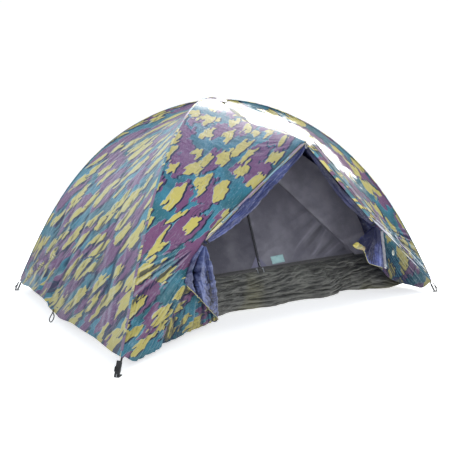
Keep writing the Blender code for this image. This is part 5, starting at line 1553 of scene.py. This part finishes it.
def door_tape():
    n, m = 90, 9
    v = np.linspace(0, 1, n)
    w = np.linspace(-1, 1, m)
    # it hangs a little turned, away from the fold
    across = tside * math.cos(0.26) - tn * math.sin(0.26)
    g = np.zeros((n, m, 3))
    for i in range(n):
        c = TAPE_TOP + (TAPE_END - TAPE_TOP) * v[i] + tn * (0.0082 + 0.0010 * math.sin(math.pi * v[i])) + tside * 0.0014 * math.sin(v[i] * 7)
        for j in range(m):
            g[i, j] = c + across * 0.0092 * w[j] + tn * (0.0008 * math.cos(w[j] * 5) + 0.0006 * math.sin(v[i] * 30 + j))
    ob = shell("door_tape", g, (M_TAPE, M_TAPE), np.stack(np.broadcast_arrays(v[:, None], w[None]), -1), 0.0011,
               float(np.sum(normals(g) * tn)) < 0)
    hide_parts("door_zip_tape")
    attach(ob, "right_flap")
    declare(g)
    # teeth along its middle, in pairs
    parts = []
    count = 62
    for k in range(count):
        q = (k + 0.5) / count
        c = TAPE_TOP + (TAPE_END - TAPE_TOP) * q + tn * (0.0096 + 0.0010 * math.sin(math.pi * q)) + tside * (0.0014 * math.sin(q * 7) + 0.0009 * (1 if k % 2 else -1))
        parts.append((*rounded_slab(c, (0.0036, 0.0020, 0.0026), (tside, tn, tdir), 0.0008, 2), 0))
    ob = joined("door_tape_teeth", parts, (plastic_material("zip_teeth", rgb("8d8c92"), rgb("c5c5c8"), 0.35),))
    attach(ob, "right_flap")


door_tape()


def slider_piece(name, node, body, centre, axes, size):
    """A zip slider: two plates with a waist between them and a bridge for the pull."""
    x, y, z = (np.array(a, float) for a in axes)
    c = np.array(centre)
    sx, sy, sz = size
    parts = [(*rounded_slab(c - y * sy * 0.32, (sx, sy * 0.26, sz), (x, y, z), sx * 0.32, 4), 0),
             (*rounded_slab(c + y * sy * 0.10, (sx, sy * 0.26, sz), (x, y, z), sx * 0.32, 4), 0),
             (*rounded_slab(c - y * sy * 0.10, (sx * 0.25, sy * 0.30, sz * 0.5), (x, y, z), None, 2), 0)]
    bridge = [c + z * sz * 0.32 + y * sy * 0.16, c + z * sz * 0.26 + y * sy * 0.52, c + y * sy * 0.66,
              c - z * sz * 0.26 + y * sy * 0.52, c - z * sz * 0.32 + y * sy * 0.16]
    bridge = smooth_path(bridge, 12, 1)
    verts, faces = [], []
    for i, p in enumerate(bridge):
        t = bridge[min(i + 1, 11)] - bridge[max(i - 1, 0)]
        t /= np.linalg.norm(t)
        b2 = np.cross(t, x)
        for k in range(8):
            w = 2 * math.pi * k / 8
            verts.append(p + x * 0.0011 * math.cos(w) + b2 * 0.0007 * math.sin(w))
    for i in range(11):
        for k in range(8):
            q = (k + 1) % 8
            faces.append((i * 8 + k, i * 8 + q, (i + 1) * 8 + q, (i + 1) * 8 + k))
    parts.append((verts, faces, 0))
    ob = joined(name, parts, (M_STEEL,))
    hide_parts(node)
    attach(ob, body)


slider_piece("door_slider_body", "door_zip_slider", "door_slider", SLIDER + tn * 0.002, (tside, tn, tdir), (0.0092, 0.0062, 0.0120))
ring_c = PULL_PIVOT + tn * 0.0012 + np.array([0, 0, -0.0120])
rv, rf = torus(ring_c, tn, 0.0090, 0.0016, 36, 10)
bar = rounded_slab(PULL_PIVOT + tn * 0.0006 - np.array([0, 0, 0.0015]), (0.0050, 0.0024, 0.0052), (tside, tn, np.cross(tside, tn)), 0.0016, 3)
ob = joined("door_ring_pull", [(rv, rf, 0), (*bar, 0)], (metal_material("bright_ring", rgb("dfe2e6"), rgb("b4b8be"), 0.2),))
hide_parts("door_zip_pull")
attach(ob, "door_ring")


def flap_toggle():
    """The small ring on the right flap that the closed door's hook takes, on a short tape."""
    c = np.array([0.748, -0.806, 0.283])
    ax = np.array([0.25, -1.0, 0.15])
    v, f = torus(c, ax, 0.0140, 0.0027, 30, 8, 0.8)
    tape = rounded_slab(c + np.array([0.0, 0.001, 0.018]), (0.009, 0.0016, 0.022), ((1, 0, 0), (0, -1, 0), (0, 0, 1)), 0.001, 2)
    ob = joined("flap_ring", [(v, f, 0), (*tape, 1)], (plastic_material("ring_plastic", rgb("d2d5c6"), rgb("9a9c90")), M_WEB))
    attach(ob, "right_flap")


flap_toggle()

# ------------------------------------------------------------------ inner tent
FLOOR_X, FLOOR_Y0, FLOOR_Y1, INNER_H, TUB_Z = 1.02, -0.53, 0.80, 1.09, 0.22
DOOR_Z0, DOOR_Y0, DOOR_LEAN, DOOR_HALF, DOOR_TOP, DOOR_TOP_HALF = 0.232, -0.46, 0.449, 0.80, 0.97, 0.055
INNER_TOP = INNER_H * 0.9965
WALL_Z = TUB_Z + 0.004
plane_up = np.array([0, DOOR_LEAN, 1.0])
plane_up /= np.linalg.norm(plane_up)
plane_out = np.array([0, -1.0, DOOR_LEAN])
plane_out /= np.linalg.norm(plane_out)
XX = np.array([1.0, 0, 0])


def inner_s(z):
    """The inner tent's profile: it hangs from the poles and fills out towards them half way up."""
    z = np.asarray(z)
    return np.interp(z / INNER_H, ROD_Z, ROD_S) + 0.052 * np.sin(math.pi * np.clip((z - 0.23) / 0.76, 0, 1)) ** 0.8


def front_y(z):
    return DOOR_Y0 + DOOR_LEAN * (np.asarray(z) - DOOR_Z0)


def door_half(z):
    return DOOR_HALF + (DOOR_TOP_HALF - DOOR_HALF) * (np.asarray(z) - DOOR_Z0) / (DOOR_TOP - DOOR_Z0)


def zip_x(z):
    return ZIP_FOOT * (1 - (np.asarray(z) - DOOR_Z0) / (DOOR_TOP - DOOR_Z0))


def door_plane(x, z, out=0.0):
    return np.array([x, float(front_y(z)), z]) + plane_out * out


ZIP_FOOT = -0.046


def wall_wrinkles(x, z, sx=1.0):
    """Soft pulls across the inner door: they run from the low middle up to the outer side."""
    a, b = x * 0.90 + z * 0.42, -x * 0.42 + z * 0.90
    pull = smooth(0.72, 0.30, z) * smooth(-0.2, 0.35, x)
    h = 0.0065 * (1 - 2.3 * np.abs(perlin(b * 11.0, a * 1.6 + 3, 301))) * pull
    h += 0.0035 * fbm(b * 16.0, a * 2.4, 311, 2) * (0.35 + 0.65 * pull)
    c, d = x * 0.75 - z * 0.66, x * 0.66 + z * 0.75
    h += 0.0030 * fbm(d * 6.0, c * 2.0, 321, 3) * smooth(0.35, 0.0, x)
    h += 0.0040 * perlin(x * 2.1, z * 2.3, 331)
    return h


def inner_door(name, node, body, sx, mat):
    n, m = ((170, 130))
    z = np.linspace(DOOR_Z0, DOOR_TOP - 0.006, n)[:, None]
    w = np.linspace(0, 1, m)[None, :]
    x = sx * door_half(z) * (1 - w) + (zip_x(z) + sx * 0.0016) * w
    g = np.stack([x, front_y(z) + 0 * w, z + 0 * w], -1)
    fall = smooth(0, 0.05, w) * smooth(0, 0.05, 1 - w) * smooth(0, 0.04, (z - DOOR_Z0)) * smooth(0, 0.05, DOOR_TOP - z)
    h = wall_wrinkles(x, z + 0 * w) * fall
    # sag lines beside the zip
    h += 0.0022 * np.sin((z + 0.3 * np.abs(x)) * 95 + 4 * perlin(z * 6, x * 6, 341)) * np.exp(-np.abs(x - zip_x(z)) / 0.035) * fall
    lie = relief(h, 20, 0.0042)
    g = g + plane_out * h[..., None]
    uv = np.stack([g[..., 0], g[..., 2]], -1)
    ob = shell(name, g, (mat, mat), uv, 0.0008, float(normals(g)[..., 1].mean()) > 0, lie)
    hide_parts(node)
    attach(ob, body)
    declare(g)


inner_door("door_half_left", "inner_door_left", "left_inner_door", -1, M_WALL_L)
inner_door("door_half_right", "inner_door_right", "right_inner_door", 1, M_WALL)


def zip_chain():
    """The upright zip: coil and one narrow tape, sewn to the right half."""
    n = 160
    z = np.linspace(DOOR_Z0 + 0.004, DOOR_TOP - 0.012, n)
    for name, dx, half, mat, out in (("inner_zip_tape_right", 0.0085, 0.0075, M_TAPE_DARK, 0.0022),):
        g = np.zeros((n, 5, 3))
        for j, w in enumerate(np.linspace(-1, 1, 5)):
            for i, zz in enumerate(z):
                g[i, j] = door_plane(float(zip_x(zz)) + dx + half * w, zz, out + 0.0004 * math.cos(3 * w))
        ob = shell(name, g, (mat, mat), np.zeros((n, 5, 2)), 0.0008, float(normals(g)[..., 1].mean()) > 0)
        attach(ob, "right_inner_door")
        declare(g)
    path = [door_plane(float(zip_x(zz)) + 0.0012, zz, 0.0034) for zz in z]
    ob = tube_mesh("inner_zip_chain", path, [0.0021 * (1 + 0.12 * math.sin(i * 2.2)) for i in range(n)], (M_COIL,), 8)
    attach(ob, "right_inner_door")


zip_chain()


def pull_piece(name, node, body, pivot, length):
    """A cast pull: a waisted tab with a hole."""
    c = np.array(pivot)
    mid = c - plane_up * (length / 2 - 0.001)
    parts = []
    outline = []
    for k in range(40):
        w = 2 * math.pi * k / 40
        zz = math.cos(w)
        half = 0.0026 + 0.0009 * zz * zz - 0.0007 * math.exp(-((zz - 0.2) / 0.35) ** 2)
        outline.append((half * np.sign(math.sin(w)) * abs(math.sin(w)) ** 0.45, zz * length / 2))
    hole = [(0.0012 * math.sin(2 * math.pi * k / 40), -length * 0.30 + 0.0022 * math.cos(2 * math.pi * k / 40)) for k in range(40)]
    verts, faces = [], []
    for y, line in ((0.0007, outline), (-0.0007, outline), (-0.0007, hole), (0.0007, hole)):
        for a, b in line:
            verts.append(mid + XX * a + plane_up * b + plane_out * y)
    for i in range(4):
        j = (i + 1) % 4
        for k in range(40):
            q = (k + 1) % 40
            faces.append((i * 40 + k, i * 40 + q, j * 40 + q, j * 40 + k))
    parts.append((verts, faces, 0))
    ob = joined(name, parts, (M_STEEL,))
    bm = bmesh.new()
    bm.from_mesh(ob.data)
    bmesh.ops.recalc_face_normals(bm, faces=bm.faces)
    bm.to_mesh(ob.data)
    bm.free()
    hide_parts(node)
    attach(ob, body)


c_mid = door_plane(float(zip_x(0.262)) + 0.0045, 0.262, 0.0040)
slider_piece("inner_slider_body", "inner_zip_slider", "inner_slider", c_mid, (XX, plane_out, plane_up), (0.0084, 0.0058, 0.0120))
pull_piece("inner_pull_body", "inner_zip_pull", "inner_pull", c_mid + plane_out * 0.0045, 0.026)
for side_name, sx in (("left", -1), ("right", 1)):
    c = door_plane(float(zip_x(0.226)) + sx * 0.022, 0.226, 0.0045)
    slider_piece("tub_slider_body_" + side_name, "tub_zip_slider_" + side_name, side_name + "_tub_slider", c, (plane_up, plane_out, XX), (0.0084, 0.0058, 0.0115))
    pull_piece("tub_pull_body_" + side_name, "tub_zip_pull_" + side_name, side_name + "_tub_pull", c + plane_out * 0.0045, 0.026)


def label():
    n, m = 16, 34
    w, v = np.linspace(-1, 1, m)[None, :], np.linspace(-1, 1, n)[:, None]
    g = np.zeros((n, m, 3))
    base = door_plane(0.113, 0.264, 0.0)
    for i in range(n):
        for j in range(m):
            x, z = 0.050 * w[0, j], 0.023 * v[i, 0]
            q = base + XX * x + plane_up * (z + 0.0015 * math.sin(x * 40))
            h = float(wall_wrinkles(np.array(q[0]), np.array(q[2])))
            g[i, j] = q + plane_out * (h + 0.0016 + 0.0006 * math.sin(w[0, j] * 4 + v[i, 0] * 3))
    uv = np.stack([np.broadcast_to((w + 1) / 2, (n, m)), np.broadcast_to((v + 1) / 2, (n, m))], -1)
    ob = shell("sewn_patch", g, (M_LABEL, M_LABEL), uv, 0.0008, float(normals(g)[..., 1].mean()) > 0)
    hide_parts("label_patch")
    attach(ob, "right_inner_door")
    declare(g)


label()


def reinforcement():
    """The triangle of cloth sewn over the foot of the zip, on the right half, and its twin on the left."""
    m, k, b = material("reinforcement")
    p = k.position()
    mottle = k.noise(p, 25.0, 3.0, 0.6, dims="3D")
    k.put(b, Base_Color=k.mix(mottle, rgb("605e70"), rgb("74728a")), Roughness=k.math("MULTIPLY_ADD", mottle, 0.1, 0.4),
          Normal=k.bump(mottle, 0.5, 0.003))
    b.inputs["Sheen Weight"].default_value = 0.3
    for name, sx, body in (("foot_patch_right", 1, "right_inner_door"), ("foot_patch_left", -1, "left_inner_door")):
        n, mm = 22, 22
        g = np.zeros((n, mm, 3))
        for i in range(n):
            v = i / (n - 1)
            z = DOOR_Z0 + 0.004 + 0.058 * v
            half = 0.052 * (1 - v) + 0.004
            for j in range(mm):
                x = float(zip_x(z)) + sx * (0.006 if sx > 0 else 0.003) + sx * half * j / (mm - 1)
                h = float(wall_wrinkles(np.array(x), np.array(z))) * min(1, (z - DOOR_Z0) / 0.04) * min(1, abs(x) / 0.03)
                g[i, j] = door_plane(x, z, max(h, 0) + 0.0018)
        ob = shell(name, g, (m, m), np.zeros((n, mm, 2)), 0.0007, float(normals(g)[..., 1].mean()) > 0)
        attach(ob, body)
        declare(g)


reinforcement()


def seam_pt(z, sx, back):
    s = float(inner_s(z))
    return np.array([sx * FLOOR_X * s, (FLOOR_Y1 if back else FLOOR_Y0) * s, z])


def inner_wall(name, node, g, mat, seed, outward):
    n, m = g.shape[:2]
    fall = edge_fall(n, m, n * 0.08, m * 0.08)
    w = np.linspace(0, 1, m)[None, :]
    v = np.linspace(0, 1, n)[:, None]
    if name.startswith("wall_front"):
        h = wall_wrinkles(g[..., 0], g[..., 2])
    else:
        h = 0.006 * fbm(w * 5 + v * 2, v * 3 - w, seed, 3) + 0.002 * fbm(w * 16, v * 9, seed + 7, 2)
    nr = normals(g)
    if float(np.sum(nr * np.array(outward))) < 0:
        nr = -nr
    g = g + nr * (h * fall)[..., None]
    uv = np.stack([g[..., 0] + g[..., 1], g[..., 2]], -1)
    ob = shell(name, g, (mat, mat), uv, 0.0008, float(np.sum(normals(g) * np.array(outward))) < 0)
    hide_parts(node)
    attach(ob, "tent")
    declare(g)


def inner_walls():
    n, m = ((90, 90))
    zs = WALL_Z + (INNER_TOP - WALL_Z) * np.linspace(0, 1, n) ** 0.8
    w = np.linspace(0.002, 0.998, m)[:, None]
    for sx, label in ((-1, "left"), (1, "right")):
        g = np.zeros((n, m, 3))
        for i, z in enumerate(zs):
            a, b = seam_pt(z, sx, False), seam_pt(z, sx, True)
            g[i] = a + (b - a) * w + np.array([-sx * 0.035, 0, 0]) * (4 * w * (1 - w)) * float(inner_s(z))
        inner_wall("wall_side_" + label, "inner_side_" + label, g, M_WALL_R, 401 + sx, (sx, 0, 0.3))
    g = np.zeros((n, m, 3))
    for i, z in enumerate(zs):
        a, b = seam_pt(z, -1, True), seam_pt(z, 1, True)
        g[i] = a + (b - a) * w + np.array([0, -0.035, 0]) * (4 * w * (1 - w)) * float(inner_s(z))
    inner_wall("wall_rear", "inner_rear", g, M_WALL_R, 421, (0, 1, 0.3))
    for sx, label in ((-1, "left"), (1, "right")):
        zs = np.concatenate([[WALL_Z], np.linspace(DOOR_Z0, DOOR_TOP, n), DOOR_TOP + (INNER_TOP - DOOR_TOP) * np.linspace(0.1, 1, 14)])
        mm = 34
        g = np.zeros((len(zs), mm, 3))
        for i, z in enumerate(zs):
            a = seam_pt(z, sx, False)
            if z <= DOOR_TOP:
                b = np.array([sx * (float(door_half(max(z, DOOR_Z0))) + 0.0030), float(front_y(z)), z])
            else:
                q = (z - DOOR_TOP) / (INNER_TOP - DOOR_TOP)
                b = np.array([sx * ((DOOR_TOP_HALF + 0.003) * (1 - q) ** 2 + 0.0025),
                              float(front_y(DOOR_TOP)) * (1 - q) + (FLOOR_Y0 * float(inner_s(INNER_TOP))) * q, z])
            ww = np.linspace(0.004, 1, mm)[:, None]
            g[i] = a + (b - a) * ww
        inner_wall("wall_front_" + label, "inner_front_" + label, g, M_WALL_F, 431 + sx, (0, -1, 0.3))


inner_walls()


def tub_piece():
    """The floor tub as one sheet: down the four walls from the top, then in over the floor."""
    per_front, per_side, per_back = ((300, 110, 130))
    plan = []
    for c, k in enumerate((per_front, per_side, per_back, per_side)):
        plan += [(c, q / k) for q in range(k)]
    plan.append((0, 0.0))
    wall_rows = 44
    floor_rows = 14
    m = len(plan)
    g = np.zeros((wall_rows + floor_rows, m, 3))
    slump_x = [-1.02, -0.60, -0.336, -0.247, -0.177, -0.119, 0, 0.169, 0.245, 0.316, 0.451, 0.56, 0.62, 0.70, 0.737, 0.823, 0.92, 0.99, 1.02]
    slump_y = [-0.53, -0.52, -0.473, -0.450, -0.452, -0.470, -0.503, -0.497, -0.497, -0.522, -0.558, -0.530, -0.505, -0.512, -0.550, -0.583, -0.602, -0.602, -0.56]
    for j, (c, w) in enumerate(plan):
        for i in range(wall_rows):
            v = i / (wall_rows - 1)
            z = TUB_Z * (1 - v) + 0.0016
            s = float(inner_s(z))
            x, y0, y1 = FLOOR_X * s, FLOOR_Y0 * s, FLOOR_Y1 * s
            a, b = [((-x, y0), (x, y0)), ((x, y0), (x, y1)), ((x, y1), (-x, y1)), ((-x, y1), (-x, y0))][c]
            px, py = a[0] + (b[0] - a[0]) * w, a[1] + (b[1] - a[1]) * w
            if c == 0:
                near = min(1.0, 14 * min(w, 1 - w))
                foot = float(np.interp(px, slump_x, slump_y))
                top = float(front_y(z))
                py = py * (1 - near) + (foot + (top - foot) * (1 - v) ** 1.15) * near
            # the floor's front corners are held out towards the poles' feet
            q = max(0.0, 1 - abs(px - math.copysign(1.0, px)) / 0.16) * max(0.0, 1 - abs(py + 0.56) / 0.30) if c in (0, 1, 3) else 0.0
            q *= v ** 1.3
            px, py, z = px + math.copysign(0.035, px) * q, py - 0.175 * q, z + 0.034 * q
            g[i, j] = (px, py, z)
    wx = np.array([p[1] for p in plan])
    front = np.array([p[0] == 0 for p in plan])
    v = np.linspace(0, 1, wall_rows)[:, None]
    X = g[:wall_rows, :, 0]
    Z = g[:wall_rows, :, 2]
    fall = smooth(0, 0.10, v) * (0.35 + 0.65 * smooth(0, 0.15, 1 - v))
    drift = 0.10 * perlin(X * 1.6, Z * 3, 501)
    h = 0.0085 * (1 - 2.2 * np.abs(perlin(X * 3.0, (Z + drift) * 30.0, 511)))
    h += 0.0052 * (1 - 2.0 * np.abs(perlin(X * 8.0 + 3, (Z + drift) * 62.0, 521)))
    h += 0.0030 * fbm(X * 20, Z * 70, 531, 2)
    ends = smooth(0, 0.06, np.minimum(wx, 1 - wx))[None]
    g[:wall_rows, :, 1] -= np.where(front[None], h * fall * ends, 0)
    lie = np.zeros(g.shape[:2])
    lie[:wall_rows] = relief(np.where(front[None], h * fall * ends, 0), 5, 0.0034)
    other = 0.006 * fbm((g[:wall_rows, :, 0] + g[:wall_rows, :, 1]) * 6, Z * 20, 541, 3) * fall * ends
    cen = np.array([0, 0.1])
    out = g[:wall_rows, :, :2] - cen
    out /= np.linalg.norm(out, axis=2)[..., None]
    g[:wall_rows, :, :2] += np.where(front[None, :, None], 0, out * other[..., None])
    # ragged foot at the front
    last = g[wall_rows - 1]
    rag = 0.010 * fbm(last[:, 0] * 9, np.zeros(m), 551, 3) * front * ends[0]
    for i in range(wall_rows - 6, wall_rows):
        q = (i - (wall_rows - 7)) / 6
        g[i, :, 1] += rag * q
    last = g[wall_rows - 1].copy()
    for i in range(floor_rows):
        q = (i + 1) / floor_rows
        row = last.copy()
        row[:, :2] = last[:, :2] * (1 - q) + cen * q
        row[:, 2] = 0.0012 + 0.0012 * np.abs(fbm(row[:, 0] * 7, row[:, 1] * 7, 561, 2)) * smooth(0, 0.15, np.array(q))
        g[wall_rows + i] = row
    g[-1, :, :2] = cen + (g[-2, :, :2] - cen) * 0.02
    d = np.concatenate(([0.0], np.cumsum(np.linalg.norm(np.diff(g[0], axis=0), axis=1))))
    uv = np.stack([np.broadcast_to(d[None], g.shape[:2]), g[..., 2]], -1)
    nrm = normals(g)
    flip = float(nrm[5:wall_rows - 5, :per_front, 1].mean()) > 0
    ob = shell("tub", g, (M_TUB, M_TUB), uv, 0.0009, flip, lie)
    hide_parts("groundsheet_tub")
    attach(ob, "tent")
    a = cloth_area(g)


tub_piece()


def tub_zip():
    """The long zip along the top of the tub: a tape with a thin dark line of teeth."""
    n = 200
    x = np.linspace(-0.790, 0.790, n)
    g = np.zeros((n, 6, 3))
    sag = 0.0016 * fbm(x * 4.0, np.zeros(n), 611, 2)
    for j, w in enumerate(np.linspace(0, 1, 6)):
        z = 0.2155 + 0.0185 * w
        for i in range(n):
            g[i, j] = door_plane(float(x[i]), z + float(sag[i]), 0.0026 + 0.0010 * math.cos(3 * w))
    uv = np.stack([np.broadcast_to(x[:, None], (n, 6)), np.broadcast_to(np.linspace(0, 0.0185, 6)[None], (n, 6))], -1)
    ob = shell("tub_zip_tape", g, (M_TUB_TAPE, M_TUB_TAPE), uv, 0.0009, float(normals(g)[..., 1].mean()) > 0)
    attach(ob, "tent")
    declare(g)
    path = [door_plane(float(a), 0.2262 + float(b), 0.0046) for a, b in zip(x, sag)]
    ob = tube_mesh("tub_zip_chain", path, [0.0012 * (1 + 0.12 * math.sin(i * 2.2)) for i in range(n)], (M_COIL,), 8)
    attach(ob, "tent")


M_TUB_TAPE = webbing_material("tub_zip_tape", rgb("5a5858"), rgb("434140"), (1, 0, 0), 0.0016)
tub_zip()


# ------------------------------------------------------------------ corners: buckles and rings on the pegging tabs
def corner_gear(label, sx, sy, which):
    e = np.array([sx * FOOT_X, sy * FOOT_Y, 0.0])
    e /= np.linalg.norm(e)
    f = np.array([-e[1], e[0], 0.0])
    zz = np.array([0, 0, 1.0])
    base = pole_point(0.0, sx, sy, RISE[which])
    up = (-e * 0.0270 + zz * 0.0560)
    up /= np.linalg.norm(up)
    out = np.cross(f, up)
    if np.dot(out, e) < 0:
        out = -out
    mid = base + e * 0.0055 + zz * 0.030 + out * 0.0022
    parts = []
    # ladder-lock buckle on the tab
    for dz, h in ((-0.0085, 0.0030), (0.0, 0.0026), (0.0085, 0.0030)):
        parts.append((*rounded_slab(mid + up * dz, (0.0235, 0.0030, h), (f, out, up), 0.0012, 2), 0))
    for s in (-1, 1):
        parts.append((*rounded_slab(mid + f * s * 0.0110, (0.0030, 0.0034, 0.0205), (f, out, up), 0.0012, 2), 0))
    # steel ring at the tab's toe
    v, fc = torus(base + e * 0.0125 + zz * 0.0070, f, 0.0056, 0.0011, 24, 8)
    parts.append((v, fc, 1))
    ob = joined("buckle_" + label, parts, (M_BLACK, M_STEEL))
    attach(ob, "tent")


for label, (sx, sy, which) in FOOT.items():
    corner_gear(label, sx, sy, which)


# ------------------------------------------------------------------ peg loops: shock cord that hangs from the hem
def peg_cord(name, node, body, sx):
    x, y, top = sx * 1.1065, -0.020, 0.0680
    half, deep = 0.0190, 0.0590
    pts = []
    # down one leg, round the foot and up the other; the loop turns as it hangs
    for off, dz, turn in ((-0.0035, -0.0030, 0), (-0.0045, 0.004, 5), (-0.0105, 0.016, 30), (-0.0175, 0.030, 50), (-half, 0.041, 58), (-0.0120, 0.0530, 62),
                          (0.0, deep, 62), (0.0120, 0.0530, 62), (half, 0.041, 58), (0.0175, 0.030, 50), (0.0105, 0.016, 30), (0.0045, 0.004, 5),
                          (0.0035, -0.0030, 0)):
        a = math.radians(turn)
        # the foot of the loop lies out on the ground
        out = max(0.0, dz / deep) ** 1.6
        pts.append((x - sx * off * math.sin(a) * 0.9 + sx * (0.004 * math.sin(a) + 0.016 * out), y + off * math.cos(a) - 0.020 * out, top - dz))
    path = spline(pts, 90)
    length = float(np.sum(np.linalg.norm(np.diff(path, axis=0), axis=1)))
    ob = tube_mesh(name, path, [0.0027 * (1 + 0.05 * math.sin(i * 1.9)) for i in range(90)], (M_CORD,), 10)
    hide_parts(node)
    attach(ob, body)
    return length


PEG_L = peg_cord("peg_cord_left", "peg_loop_left", "left_peg_loop", -1)
PEG_R = peg_cord("peg_cord_right", "peg_loop_right", "right_peg_loop", 1)


# ------------------------------------------------------------------ CAD pieces that stay, with their finish
CARRY = {"corner_tab": M_WEB, "eyelet": M_STEEL, "pole_tip": M_BLACK, "crossing_strap": M_WEB, "inner_crown": M_WALL_R, "inner_hook": M_BLACK,
         "pole_one": M_ROD, "pole_two": M_ROD, "ridge_pole": M_ROD, "ridge_pole_cap": M_BLACK}
for node_name, node in NODES.items():
    for key, mat in sorted(CARRY.items(), key=lambda q: len(q[0])):
        if node_name.startswith(key):
            for i in range(max(1, len(node.material_slots))):
                if i < len(node.material_slots):
                    node.material_slots[i].link = "OBJECT"
                    node.material_slots[i].material = mat
                else:
                    node.data.materials.append(mat)


# ------------------------------------------------------------------ floor, world and lights
def stage():
    me = bpy.data.meshes.new("floor")
    s = 30.0
    me.from_pydata([(-s, -s, -0.0005), (s, -s, -0.0005), (s, s, -0.0005), (-s, s, -0.0005)], [], [(0, 1, 2, 3)])
    m, k, b = material("floor")
    dust = k.noise(k.position(), 3.0, 3.0, 0.5, dims="3D")
    k.put(b, Base_Color=k.mix(k.math("MULTIPLY", dust, 0.05), (0.93, 0.93, 0.93), (0.88, 0.88, 0.88)))
    b.inputs["Roughness"].default_value = 0.9
    b.inputs["Specular IOR Level"].default_value = 0.1
    b.inputs["Emission Color"].default_value = (1.0, 1.0, 1.0, 1.0)
    b.inputs["Emission Strength"].default_value = 0.62
    link("floor", me, m)
    w = bpy.data.worlds.new("studio")
    bpy.context.scene.world = w
    w.use_nodes = True
    t = w.node_tree
    seen = t.nodes["Background"]
    seen.inputs[0].default_value = (1.0, 1.0, 1.0, 1.0)
    seen.inputs[1].default_value = 1.02
    sky = t.nodes.new("ShaderNodeBackground")
    sky.inputs[0].default_value = (0.86, 0.93, 1.0, 1.0)
    sky.inputs[1].default_value = 0.52
    path = t.nodes.new("ShaderNodeLightPath")
    mix = t.nodes.new("ShaderNodeMixShader")
    t.links.new(path.outputs["Is Camera Ray"], mix.inputs[0])
    t.links.new(sky.outputs[0], mix.inputs[1])
    t.links.new(seen.outputs[0], mix.inputs[2])
    t.links.new(mix.outputs[0], t.nodes["World Output"].inputs[0])

    def area(name, pos, target, size, power, colour=(1, 1, 1)):
        d = bpy.data.lights.new(name, "AREA")
        d.shape = "RECTANGLE"
        d.size, d.size_y = size
        d.energy = power
        d.color = colour
        o = bpy.data.objects.new(name, d)
        bpy.context.scene.collection.objects.link(o)
        o.location = pos
        o.rotation_euler = (Vector(target) - Vector(pos)).to_track_quat("-Z", "Y").to_euler()
        o.visible_camera = False
        return o
    area("key", (3.27, -0.50, 4.02), (0.3, -0.4, 1.0), (1.95, 3.7), 150.0, (1.0, 0.985, 0.96))
    area("key_crease", (2.14, 1.14, 3.75), (0.15, -0.3, 1.12), (2.9, 2.4), 104.0, (1.0, 0.99, 0.97))
    area("key_top", (0.48, 0.20, 4.35), (0.10, -0.15, 1.2), (0.8, 2.3), 24.0, (1.0, 1.0, 1.0))
    area("rear_sky", (-0.9, 4.6, 3.0), (-0.6, 0.0, 0.8), (4.2, 2.2), 52.0, (0.78, 0.89, 1.0))
    area("left_fill", (-4.8, -1.0, 3.0), (-0.7, -0.1, 0.6), (2.6, 2.6), 46.0, (0.88, 0.95, 1.0))
    area("front_fill", (-2.6, -4.4, 1.9), (0.0, -0.5, 0.5), (3.2, 2.4), 52.0, (0.96, 0.98, 1.0))


stage()
